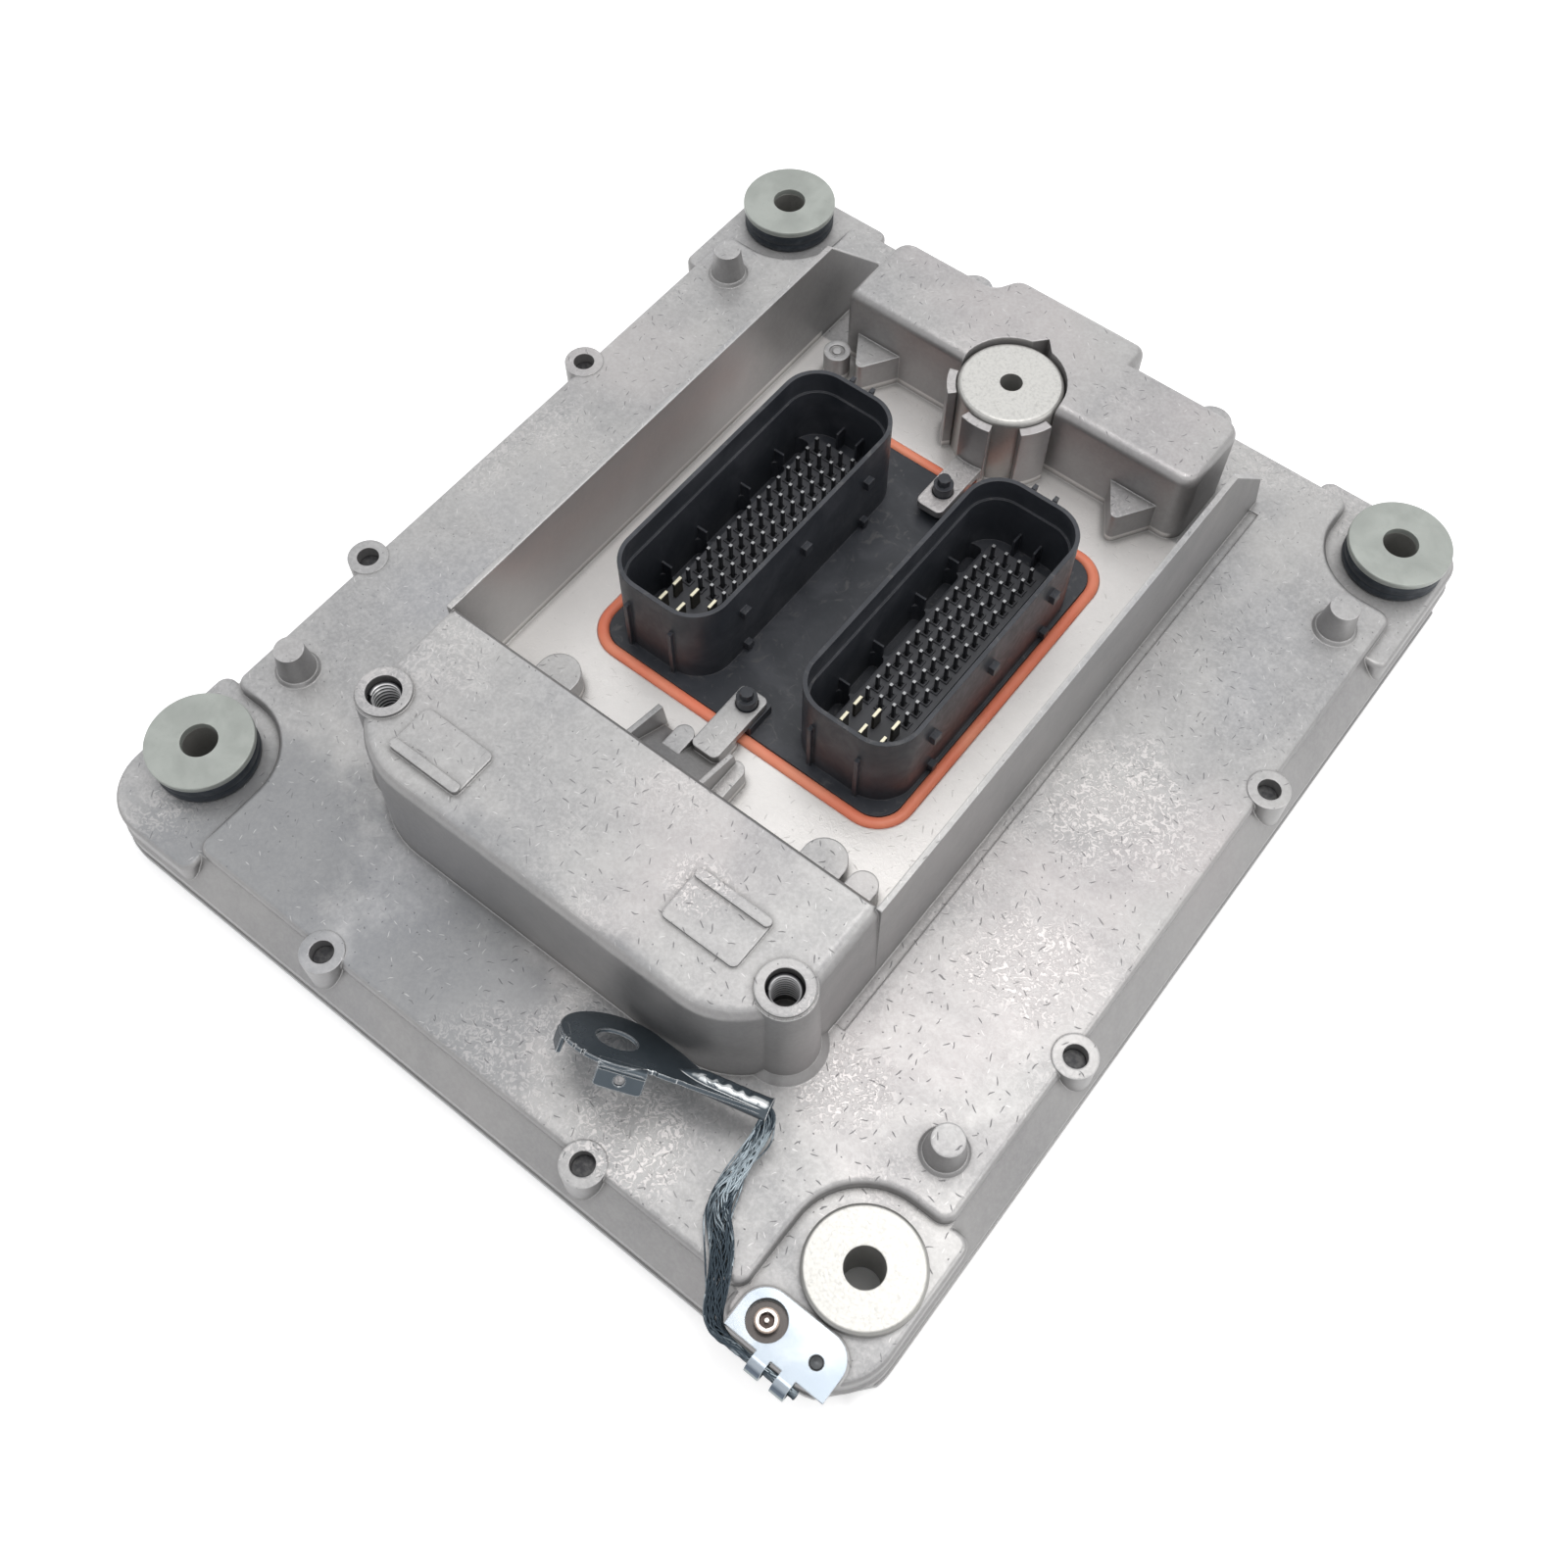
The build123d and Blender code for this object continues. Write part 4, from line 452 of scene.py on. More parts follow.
@dataclass(frozen=True)
class CastSkin:
    """Satin die casting with flow clouds, frost-like patches and ticks, painted shade on walls, corners and patches,
    painted light in the well, and worn edges with a painted highlight.

    Attributes:
        dull: Colour of the dull clouds.
        light: Colour of the light clouds.
        clouds: Slow clouds of both.
        layers: Warm tint, cool tint and mottle over the clouds, each with its colour.
        grain: Fine pale grain over them.
        patch_shade: Colour of the painted shade in patches.
        shaded_patches: Place and radius of the patches of painted shade.
        frost: Colour of the frost.
        crystals: Noise that draws the frost.
        frosty: Slow clouds that hold a little frost.
        frosted: Place and radius of the patches with most frost.
        scratched: Slow clouds that hold most dark strokes.
        scratches: Cell, half length, half width and share of the dark strokes, as for Shader.marks.
        pits: The same for the dark specks.
        glints: The same for the bright strokes.
        wall_shade: Colour of the painted shade that the walls tend to.
        well: Half width, half length and height of the well's floor.
        floor: Colour of the painted light that the floor of the well tends to.
        slopes: Distance from the middle, half length and length of the fade of the well's sloping sides.
        slope_light: Colour of the painted light that these sides tend to.
        corner_reach: Reach of the painted shade in inner corners.
        corner_shade_colour: Its colour.
        bore: Radius of the bores for the thread inserts.
        peg: Radius of the peg below the bracket.
        metallic: Share of metal in the surface.
    """

    dull: Colour = (0.355, 0.355, 0.362)
    light: Colour = (0.48, 0.475, 0.47)
    clouds: Cloud = Cloud(34.0, 0.3, 0.7, 1.0, 4.0, 0.55, 0.6)
    layers: tuple[tuple[Cloud, Colour], ...] = (
        (Cloud(60.0, 0.52, 0.75, 0.30, 2.0, 0.5, 0.3), (0.60, 0.53, 0.54)),
        (Cloud(60.0, 0.46, 0.28, 0.25, 2.0, 0.5, 0.3), (0.45, 0.47, 0.53)),
        (Cloud(3.2, 0.42, 0.68, 0.22, 4.0, 0.6, 0.8), (0.66, 0.655, 0.65)),
    )
    grain: Cloud = Cloud(0.9, 0.35, 0.70, 0.28, 3.0, 0.65, 0.4)
    patch_shade: Colour = (0.22, 0.23, 0.245)
    shaded_patches: tuple[Place, ...] = ((-10.0, -128.0, 34.0), (-72.0, -128.0, 36.0), (27.0, -110.0, 13.0))
    frost: Colour = (0.90, 0.86, 0.85)
    crystals: Cloud = Cloud(2.2, 0.49, 0.58, 1.0, 3.0, 0.62, 2.6)
    frosty: Cloud = Cloud(42.0, 0.52, 0.68, 0.4, 2.0)
    frosted: tuple[Place, ...] = (
        (44.0, -124.0, 15.0), (84.0, 8.0, 20.0), (88.0, -38.0, 16.0), (28.0, -80.0, 8.0), (72.0, -86.0, 12.0),
    )
    scratched: Cloud = Cloud(70.0, 0.36, 0.56, 1.0, 1.0, 0.4, 0.2)
    scratches: tuple[float, float, float, float] = (4.1, 0.23, 0.036, 0.55)
    pits: tuple[float, float, float, float] = (3.1, 0.08, 0.05, 0.25)
    glints: tuple[float, float, float, float] = (3.6, 0.20, 0.030, 0.30)
    wall_shade: Colour = (0.25, 0.245, 0.245)
    well: tuple[float, float, float] = (61.0, 78.0, 29.5)
    floor: Colour = (0.92, 0.90, 0.88)
    slopes: tuple[float, float, float] = (47.0, 61.5, 22.0)
    slope_light: Colour = (0.72, 0.71, 0.70)
    corner_reach: float = 2.2
    corner_shade_colour: Colour = (0.13, 0.125, 0.12)
    bore: float = 4.5
    peg: float = 1.6
    metallic: float = 0.5

    def _patches(self, s: Shader, patches: Sequence[Place]) -> Socket:
        """1 inside any of the patches: the distance over the radius, with noise added, is low there.

        Args:
            s: Shader of the casting.
            patches: Place and radius of each.

        Returns:
            Output socket with the mask.
        """
        ragged = s.math("MULTIPLY", s.noise(11.0, 3.0, 0.6), 1.2)
        shares = (s.math("DIVIDE", s.radius((x, y)), radius) for x, y, radius in patches)
        return s.either(*(s.ramp(s.math("ADD", share, ragged), 1.75, 1.15) for share in shares))

    def _frost(self, s: Shader) -> Socket:
        """Crystals on the faces that look up, in the frosty clouds and patches."""
        zone = s.either(self.frosty.mask(s), self._patches(s, self.frosted))
        return s.both(self.crystals.mask(s), zone, s.facing_up())

    def _dark_marks(self, s: Shader) -> Socket:
        """Scratches where their clouds allow them, and pits everywhere."""
        zone = s.ramp(self.scratched.noise(s), self.scratched.low, self.scratched.high, 0.25, 1.0)
        return s.either(s.both(s.marks(*self.scratches), zone), s.marks(*self.pits))

    def _paint_well_light(self, s: Shader, base: Socket) -> Socket:
        """Lay paler colours as painted light over the floor and the sloping sides of the well.

        Args:
            s: Shader of the casting.
            base: Colour so far.

        Returns:
            Output socket with the new colour.
        """
        half_width, half_length, height = self.well
        start, end, fade = self.slopes
        across, along = (s.math("ABSOLUTE", s.axis(index)) for index in (0, 1))
        well = s.both(s.below(across, half_width, 0.4), s.below(along, half_length, 0.4))
        # Painted light: the well's floor, and then its sloping sides, are made paler.
        base = s.over(s.both(well, s.below(s.axis(2), height, 0.3)), 0.75, base, self.floor)
        sides = s.both(well, s.ramp(across, start - 1.0, start), s.ramp(along, end, end - fade))
        return s.over(s.both(sides, s.ramp(s.axis(2), height - 0.3, height + 0.3)), 0.4, base, self.slope_light)

    def make(self) -> bpy.types.Material:
        """Lay clouds, patches, marks, painted light in the well, painted shade on walls and in corners, and edges
        over each other, and give the marks relief.
        """
        s = Shader("cast_aluminium")
        base = self.clouds.lay(s, self.dull, self.light)
        for layer, colour in self.layers:
            base = layer.lay(s, base, colour)
        base = self.grain.lay(s, base, (0.66, 0.66, 0.66))
        up, frost, dark = s.facing_up(), self._frost(s), self._dark_marks(s)
        walls = s.math("SUBTRACT", 1.0, up)
        # Painted shade: patches over the front, the front left and under the ring terminal are dulled on faces that
        # look up.
        base = s.over(s.both(self._patches(s, self.shaded_patches), up), 0.6, base, self.patch_shade)
        base = s.over(frost, 0.62, base, self.frost)
        base = s.over(s.marks(*self.glints), 0.45, base, (0.86, 0.85, 0.85))
        base = s.over(dark, 0.55, base, (0.10, 0.10, 0.11))
        # Painted shade: faces that do not look up tend to the darker wall colour.
        base = self._paint_well_light(s, s.over(walls, 0.6, base, self.wall_shade))
        # Painted shade: inner corners are darkened by ambient occlusion.
        base = s.over(s.corner_shade_mask(self.corner_reach), 0.6, base, self.corner_shade_colour)
        # Worn edges, lightened further as a painted highlight.
        base = s.over(s.edge_mask(0.55), 0.5, base, (0.84, 0.84, 0.84))
        # Painted shade: the walls of the thread bores are darkened.
        for axis in THREAD_AXES:
            bore = s.below(s.radius(axis), self.bore, 0.1)
            base = s.over(s.both(bore, walls), 0.5, base, (0.07, 0.07, 0.075))
        from_peg = s.radius(BRACKET_PEG)
        # Painted shade: the peg down in the bracket's hole is darkened.
        base = s.over(s.below(from_peg, self.peg, 0.1), 0.9, base, (0.14, 0.15, 0.16))
        rough = s.math("ADD", s.ramp(self.clouds.noise(s), 0.3, 0.7, 0.44, 0.35), s.math("MULTIPLY", dark, 0.2))
        normal = Relief(7.0, 0.10, 0.5, 0.6, warp=0.5).normal(s)
        normal = s.bump(self.grain.noise(s), 0.035, 0.55, normal)
        normal = s.bump(s.math("ADD", frost, s.math("SUBTRACT", 1.0, dark)), 0.05, 0.6, normal)
        normal = s.bump(s.ramp(from_peg, self.peg - 0.2, 0.0), 0.9, 1.0, normal)
        return s.finish(Base_Color=base, Metallic=self.metallic, Roughness=rough, Normal=normal)


@dataclass(frozen=True)
class MetalSkin:
    """Plated or rolled metal with slight clouding and fine specks.

    Attributes:
        name: Name of the material.
        colour: Base colour.
        rough: Roughness.
        metallic: Share of metal in the surface.
        cloud: Size of the clouds in millimetres.
        speck: Share of the specks.
        relief: Fine unevenness.
    """

    name: str
    colour: Colour
    rough: float
    metallic: float = 0.9
    cloud: float = 5.0
    speck: float = 0.15
    relief: Relief = Relief(1.5, 0.02, edge=0.25, rough=0.55)

    def make(self) -> bpy.types.Material:
        """Mix the colour with a darker one by clouds, and lay specks over it."""
        s = Shader(self.name)
        base = Cloud(self.cloud, 0.3, 0.75, rough=0.55, warp=0.3).lay(s, self.colour, dim(self.colour, 0.8))
        base = Cloud(0.6, 0.60, 0.74, self.speck, 2.0, 0.6).lay(s, base, dim(self.colour, 0.45))
        normal = self.relief.normal(s)
        return s.finish(Base_Color=base, Metallic=self.metallic, Roughness=self.rough, Normal=normal)


@dataclass(frozen=True)
class TurnedSkin:
    """Turned metal with fine rings round an upright axis and small dark specks.

    Attributes:
        name: Name of the material.
        centre: Place of the axis in millimetres.
        colour: Base colour.
        pitch: Distance between rings in millimetres.
        line: Radius of a dark line scribed round the face, or 0.
        metallic: Share of metal in the surface.
    """

    name: str
    centre: Spot
    colour: Colour
    pitch: float
    line: float = 0.0
    metallic: float = 0.55

    def make(self) -> bpy.types.Material:
        """Rings are the sine of the distance from the axis; walls take painted shade, darker than the face."""
        s = Shader(self.name)
        radius = s.radius(self.centre)
        rings = s.math("SINE", s.math("MULTIPLY", radius, TURN / self.pitch))
        speck = Cloud(0.8, 0.40, 0.75, rough=0.6)
        base = speck.lay(s, self.colour, dim(self.colour, 0.84))
        base = Cloud(1.1, 0.60, 0.70, 0.35, 2.0, 0.6, 1.0).lay(s, base, dim(self.colour, 0.55))
        if self.line:
            away = s.math("ABSOLUTE", s.math("SUBTRACT", radius, self.line))
            base = s.over(s.ramp(away, 0.22, 0.06), 0.45, base, dim(self.colour, 0.4))
        walls = s.math("SUBTRACT", 1.0, s.facing_up())
        # Painted shade on the faces that do not look up.
        base = s.over(walls, 0.7, base, dim(self.colour, 0.45))
        normal = s.bump(rings, 0.006, 0.35, s.soft_edges(0.4))
        normal = s.bump(speck.noise(s), 0.02, 0.4, normal)
        return s.finish(Base_Color=base, Metallic=self.metallic, Roughness=0.36, Normal=normal)


@dataclass(frozen=True)
class BracketSkin:
    """Bright plate with painted shade on its side faces, in the dish for the screw and round the peg's hole, a
    painted highlight along its rims, and duller crimp loops.

    Attributes:
        dish: Radius of the dish round the screw, which takes painted shade.
        peg_hole: Radius of the peg's hole in the plate.
        plate_low: Height above which the plate begins.
        plate: Two colours of the plate's face.
        edge: Colour of the painted shade on its faces that do not look up.
        loop: Two colours of the loops.
    """

    dish: float = 4.45
    peg_hole: float = 1.6
    plate_low: float = 18.8
    plate: tuple[Colour, Colour] = ((0.50, 0.545, 0.59), (0.35, 0.405, 0.465))
    edge: Colour = (0.12, 0.15, 0.19)
    loop: tuple[Colour, Colour] = ((0.36, 0.41, 0.41), (0.24, 0.28, 0.29))

    def make(self) -> bpy.types.Material:
        """Choose the colour by the distance from the screw, the height and the way a face looks."""
        s = Shader("bracket_zinc")
        cloud = Cloud(16.0, 0.35, 0.7, warp=0.4)
        # Painted shade: faces that do not look up take the dark edge colour.
        plate = s.mix(s.facing_up(), self.edge, cloud.lay(s, *self.plate))
        loops = cloud.lay(s, *self.loop)
        base = s.mix(s.ramp(s.axis(2), self.plate_low - 0.1, self.plate_low + 0.1), loops, plate)
        # Painted shade in the dish round the screw.
        base = s.over(s.below(s.radius(BRACKET_SCREW), self.dish, 0.1), 0.95, base, (0.075, 0.065, 0.062))
        hole = s.ramp(s.radius(BRACKET_PEG), self.peg_hole + 0.15, self.peg_hole)
        # Painted shade round the peg's hole.
        base = s.over(hole, 0.9, base, (0.06, 0.06, 0.065))
        # Painted highlight along the rims.
        base = s.over(s.edge_mask(0.2), 0.6, base, (0.93, 0.96, 0.98))
        normal = Relief(1.2, 0.015, edge=0.25, rough=0.55).normal(s)
        return s.finish(Base_Color=base, Metallic=0.75, Roughness=0.27, Normal=normal)


@dataclass(frozen=True)
class SocketScrewSkin:
    """Brownish screw head with a bright rim round a socket in painted shade, and a bright pin.

    Attributes:
        rim: Inner and outer radius of the bright rim.
        pin: Radius of the pin.
        socket: Colour of the painted shade inside the rim.
        bright: Colour of the rim.
        head: Colour outside it.
        tip: Colour of the pin.
    """

    rim: tuple[float, float] = (1.62, 2.2)
    pin: float = 0.5
    socket: Colour = (0.06, 0.045, 0.04)
    bright: Colour = (0.80, 0.74, 0.70)
    head: Colour = (0.26, 0.21, 0.18)
    tip: Colour = (0.85, 0.78, 0.74)

    def make(self) -> bpy.types.Material:
        """Choose the colour by the distance from the axis."""
        s = Shader("ground_screw")
        radius = s.radius(BRACKET_SCREW)
        inner, outer = self.rim
        # Painted shade inside the socket.
        base = s.mix(s.ramp(radius, inner - 0.05, inner + 0.05), self.socket, self.bright)
        base = s.mix(s.ramp(radius, outer - 0.1, outer + 0.15), base, self.head)
        base = s.mix(s.ramp(radius, self.pin + 0.08, self.pin), base, self.tip)
        normal = Relief(0.8, 0.02, edge=0.3, rough=0.55).normal(s)
        return s.finish(Base_Color=base, Metallic=0.8, Roughness=0.25, Normal=normal)


@dataclass(frozen=True)
class PinSkin:
    """Plated pins with bright tips, whose bodies are painted with the shade of the socket.

    Attributes:
        name: Name of the material.
        tip: Colour of the tips.
        body: Colour of the painted shade on the bodies.
        tip_height: Height in millimetres above which a pin is bright.
    """

    name: str
    tip: Colour
    body: Colour
    tip_height: float

    def make(self) -> bpy.types.Material:
        """Change from the body's painted shade to the tip's colour with the height, and paint a highlight along the
        edges.
        """
        s = Shader(self.name)
        body = Cloud(1.5, 0.35, 0.7).lay(s, self.body, dim(self.body, 0.6))
        # Painted highlight: edges take the tip's colour.
        body = s.over(s.edge_mask(0.14), 0.35, body, self.tip)
        # Painted shade: below the tip height the pin takes the dark body colour.
        base = s.mix(s.ramp(s.axis(2), self.tip_height - 0.1, self.tip_height + 0.1), body, self.tip)
        normal = Relief(0.6, 0.01, edge=0.15, detail=2.0).normal(s)
        return s.finish(Base_Color=base, Metallic=0.7, Roughness=0.28, Normal=normal)


@dataclass(frozen=True)
class CoilSkin:
    """Wire of the thread inserts: painted highlight on the crests and painted shade in the grooves.

    Attributes:
        crest: Radius of the crests.
        groove: Radius beyond which the grooves take painted shade.
    """

    crest: float = 3.2
    groove: float = 3.5

    def make(self) -> bpy.types.Material:
        """Choose the colour by the distance from the nearer axis."""
        s = Shader("stainless_wire")
        radius = s.math("MINIMUM", *(s.radius(axis) for axis in THREAD_AXES))
        # Painted light: crests near the axis are bright, grooves further out dark.
        base = s.mix(s.ramp(radius, self.crest, self.groove), (0.85, 0.85, 0.86), (0.035, 0.035, 0.04))
        return s.finish(Base_Color=base, Metallic=0.5, Roughness=0.3)


@dataclass(frozen=True)
class BraidSkin:
    """Tinned wires whose dark colour stands in for reflected dark surroundings and whose pale colour is a painted
    highlight, as each wire's tone says.

    Attributes:
        dark: Colour of the dark wires, standing in for reflected dark surroundings.
        pale: Colour of the bright ones, a painted highlight.
    """

    dark: Colour = (0.040, 0.058, 0.075)
    pale: Colour = (0.50, 0.58, 0.63)

    def make(self) -> bpy.types.Material:
        """Mix the two colours by the tone and a fine noise."""
        s = Shader("tinned_braid")
        tone = s.add("ShaderNodeAttribute", attribute_name=TONE)
        fleck = s.ramp(s.noise(1.6, 3.0, 0.6), 0.3, 0.7, 0.8, 1.2)
        # Each wire's tone, partly random and partly painted sheen, sets the share of painted highlight.
        share = s.ramp(s.math("MULTIPLY", fleck, tone.outputs["Fac"]), 0.25, 1.0)
        return s.finish(Base_Color=s.mix(share, self.dark, self.pale), Metallic=0.6, Roughness=0.3)


@dataclass(frozen=True)
class TerminalSkin:
    """Dark plating that stands in for reflected dark surroundings, with a painted highlight along its edges and along
    the barrel's crest.

    Attributes:
        centre: Middle of the ring in millimetres.
        along: Direction of the barrel.
        crest: Direction of the faces along the barrel that take the painted highlight.
        start: Distance from the middle of the ring at which the barrel starts.
        plating: Two dark colours of the plating, standing in for reflected dark surroundings.
        crest_highlight: Colour of the painted highlight on the crest.
        edge: Colour of the painted highlight along the edges.
    """

    centre: Place = (30.9, -112.7, 34.3)
    along: Place = (0.967, 0.250, -0.040)
    crest: Place = (0.05, 0.10, 0.99)
    start: float = 15.6
    plating: tuple[Colour, Colour] = ((0.090, 0.112, 0.132), (0.064, 0.084, 0.102))
    crest_highlight: Colour = (0.92, 0.96, 0.98)
    edge: Colour = (0.95, 0.97, 0.98)

    def make(self) -> bpy.types.Material:
        """The painted highlight lies where the barrel's faces look along the crest's direction, broken up by the
        dents.
        """
        s = Shader("plated_terminal")
        # Painted reflection: the dark plating colours stand in for dark surroundings reflected in the plating.
        base = Cloud(9.0, 0.3, 0.75, rough=0.55).lay(s, *self.plating)
        geometry = s.add("ShaderNodeNewGeometry")
        reach = s.vector("DOT_PRODUCT", s.vector("SUBTRACT", s.place(), self.centre), self.along)
        looks = s.vector("DOT_PRODUCT", geometry.outputs["Normal"], self.crest)
        crest = s.both(s.ramp(looks, 0.90, 0.975), s.ramp(reach, self.start, self.start + 3.0))
        patches = Cloud(2.4, 0.36, 0.50, rough=0.55, warp=0.8).mask(s)
        # Painted highlight along the barrel's crest.
        base = s.over(s.both(crest, patches), 0.95, base, self.crest_highlight)
        # Painted highlight along the edges.
        base = s.mix(s.edge_mask(0.4), base, self.edge)
        normal = Relief(2.5, 0.02, 0.3, detail=2.0).normal(s)
        return s.finish(Base_Color=base, Metallic=0.45, Roughness=0.22, Normal=normal)


@dataclass(frozen=True)
class BoredScrewSkin:
    """Zinc screws below the casting whose ends inside their bores take painted shade.

    Attributes:
        low: Height in millimetres above which the shank takes painted shade.
        plating: Two colours of the plating.
        shaded_ends: Two colours of the painted shade on the ends.
    """

    low: float = 4.0
    plating: tuple[Colour, Colour] = ((0.62, 0.66, 0.70), (0.50, 0.54, 0.58))
    shaded_ends: tuple[Colour, Colour] = ((0.05, 0.05, 0.055), (0.11, 0.11, 0.11))

    def make(self) -> bpy.types.Material:
        """Change from plating to painted shade with the height."""
        s = Shader("screw_steel")
        cloud = Cloud(1.4, 0.35, 0.7, rough=0.6)
        inside = s.ramp(s.axis(2), self.low, self.low + 0.5)
        # Painted shade: above the low height the shank is dark inside its bore.
        base = s.mix(inside, cloud.lay(s, *self.plating), cloud.lay(s, *self.shaded_ends))
        normal = Relief(0.5, 0.05, 0.6, 0.3, rough=0.6).normal(s)
        return s.finish(Base_Color=base, Metallic=0.6, Roughness=0.45, Normal=normal)


@dataclass(frozen=True)
class RubberSkin:
    """Dark blue-grey moulded rubber with a little dust."""

    colour: Colour = (0.024, 0.031, 0.040)
    dust: Colour = (0.058, 0.068, 0.080)

    def make(self) -> bpy.types.Material:
        """Dust lies in clouds of a few millimetres over the plain rubber."""
        s = Shader("black_rubber")
        base = Cloud(3.0, 0.45, 0.8, detail=4.0, rough=0.6).lay(s, self.colour, self.dust)
        normal = Relief(0.5, 0.02, 0.5, 0.4, 2.0).normal(s)
        return s.finish(Base_Color=base, Roughness=0.55, Specular_IOR_Level=0.4, Normal=normal)


@dataclass(frozen=True)
class HeaderSkin:
    """Fine grained black moulding with dusty flat areas and a painted highlight along the edges."""

    clean: Colour = (0.030, 0.034, 0.043)
    dusty: Colour = (0.062, 0.066, 0.078)
    smear: Colour = (0.092, 0.093, 0.097)
    edge: Colour = (0.13, 0.13, 0.135)

    def make(self) -> bpy.types.Material:
        """Dust in clouds, smears on the faces that look up, and a painted highlight as a paler line along each edge.
        """
        s = Shader("header_plastic")
        base = Cloud(14.0, 0.4, 0.75, 1.0, 5.0, 0.62, 0.6).lay(s, self.clean, self.dusty)
        smear = Cloud(4.0, 0.56, 0.72, 1.0, 3.0, 0.6, 1.5)
        base = s.over(s.both(smear.mask(s), s.facing_up()), 0.8, base, self.smear)
        # Painted highlight along the edges.
        base = s.over(s.edge_mask(0.3), 0.35, base, self.edge)
        normal = Relief(0.45, 0.02, 0.5, 0.35, 2.0, 0.6).normal(s)
        return s.finish(Base_Color=base, Roughness=s.ramp(smear.noise(s), 0.3, 0.7, 0.46, 0.36), Normal=normal)


@dataclass(frozen=True)
class MouldedSkin:
    """Plain moulded plastic, epoxy or solder mask.

    Attributes:
        name: Name of the material.
        colour: Base colour.
        rough: Roughness.
        edge: Strength of the painted highlight, a paler line along edges.
    """

    name: str
    colour: Colour
    rough: float
    edge: float = 0.0

    def make(self) -> bpy.types.Material:
        """Clouds a little lighter than the colour, and a painted highlight along edges where it is wanted."""
        s = Shader(self.name)
        base = Cloud(6.0, 0.35, 0.75).lay(s, self.colour, dim(self.colour, 1.4))
        if self.edge:
            # Painted highlight along the edges.
            base = s.over(s.edge_mask(0.16), self.edge, base, (0.22, 0.22, 0.23))
        normal = Relief(0.6, 0.02, edge=0.2, detail=2.0).normal(s)
        return s.finish(Base_Color=base, Roughness=self.rough, Normal=normal)


@dataclass(frozen=True)
class SiliconeSkin:
    """Smooth orange-red silicone bead."""

    deep: Colour = (0.94, 0.26, 0.15)
    pale: Colour = (0.98, 0.36, 0.22)

    def make(self) -> bpy.types.Material:
        """Two oranges in slow clouds with a soft uneven surface."""
        s = Shader("orange_silicone")
        base = Cloud(16.0, 0.35, 0.7, detail=2.0).lay(s, self.deep, self.pale)
        normal = Relief(2.2, 0.05).normal(s)
        return s.finish(Base_Color=base, Roughness=0.40, Specular_IOR_Level=0.45, Normal=normal)


SLOT_SKINS = {
    Slot.CASTING: CastSkin(),
    Slot.PLATE: MetalSkin("sheet_aluminium", (0.42, 0.42, 0.42), 0.42, 0.6, 25.0),
    Slot.RUBBER: RubberSkin(),
    Slot.ZINC: MetalSkin("zinc_steel", (0.70, 0.75, 0.80), 0.28),
    Slot.HEADER: HeaderSkin(),
    Slot.SEAL: SiliconeSkin(),
    Slot.CARRIER: MouldedSkin("carrier_plastic", (0.046, 0.048, 0.055), 0.45, 0.6),
    Slot.TIN: PinSkin("tin_pins", (0.46, 0.47, 0.48), (0.060, 0.063, 0.071), 38.2),
    Slot.GOLD: PinSkin("gold_pins", (0.93, 0.88, 0.68), (0.075, 0.065, 0.045), 37.95),
    Slot.PLAIN: TurnedSkin("plain_steel", BUSH_AXIS, (0.62, 0.615, 0.59), 0.9, 12.75),
    Slot.TURNED: TurnedSkin("turned_steel", CENTRE_AXIS, (0.69, 0.685, 0.66), 0.35),
    Slot.WIRE: CoilSkin(),
    Slot.BRAID: BraidSkin(),
    Slot.TERMINAL: TerminalSkin(),
    Slot.BOARD: MouldedSkin("board_green", (0.02, 0.12, 0.05), 0.35),
    Slot.CHIP: MouldedSkin("chip_black", (0.012, 0.012, 0.013), 0.5),
    Slot.CAN: MetalSkin("capacitor_can", (0.60, 0.60, 0.61), 0.30),
    Slot.PAD: MouldedSkin("heat_pad", (0.30, 0.32, 0.35), 0.8),
    Slot.WASHER: MetalSkin("washer_steel", (0.45, 0.48, 0.45), 0.45, 0.35, 9.0),
}
NODE_SKINS = {
    "strap_bracket": BracketSkin(),
    "bracket_screw": SocketScrewSkin(),
    "base_screws": BoredScrewSkin(),
}


class Palette:
    """The finished materials, and what dresses a piece with one of them."""

    def __init__(self) -> None:
        """Make every finish once."""
        self.by_slot = {slot: skin.make() for slot, skin in SLOT_SKINS.items()}
        self.by_node = {node: skin.make() for node, skin in NODE_SKINS.items()}

    def dress(self, piece: bpy.types.Object, slot: Slot) -> None:
        """Give a new piece its material and slot, let it ride on the body and report it.

        Args:
            piece: The new piece.
            slot: Slot that its finish comes from.
        """
        piece.data.materials.clear()
        piece.data.materials.append(self.by_slot[slot])
        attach(piece, BODY)
        LOG.info("%s: %d faces", piece.name, len(piece.data.polygons))

    def dress_model(self, frame: dict) -> None:
        """Give every node of the model its own material or that of its slot.

        Args:
            frame: The loaded frame.
        """
        slots = {part["node"]: part["material_slot"] for part in frame["record"]["subparts"]}
        for name, piece in frame["nodes"].items():
            material = self.by_node.get(name, self.by_slot[Slot(slots[name])])
            if not piece.data.materials:
                piece.data.materials.append(material)
            for index in range(len(piece.data.materials)):
                piece.data.materials[index] = material


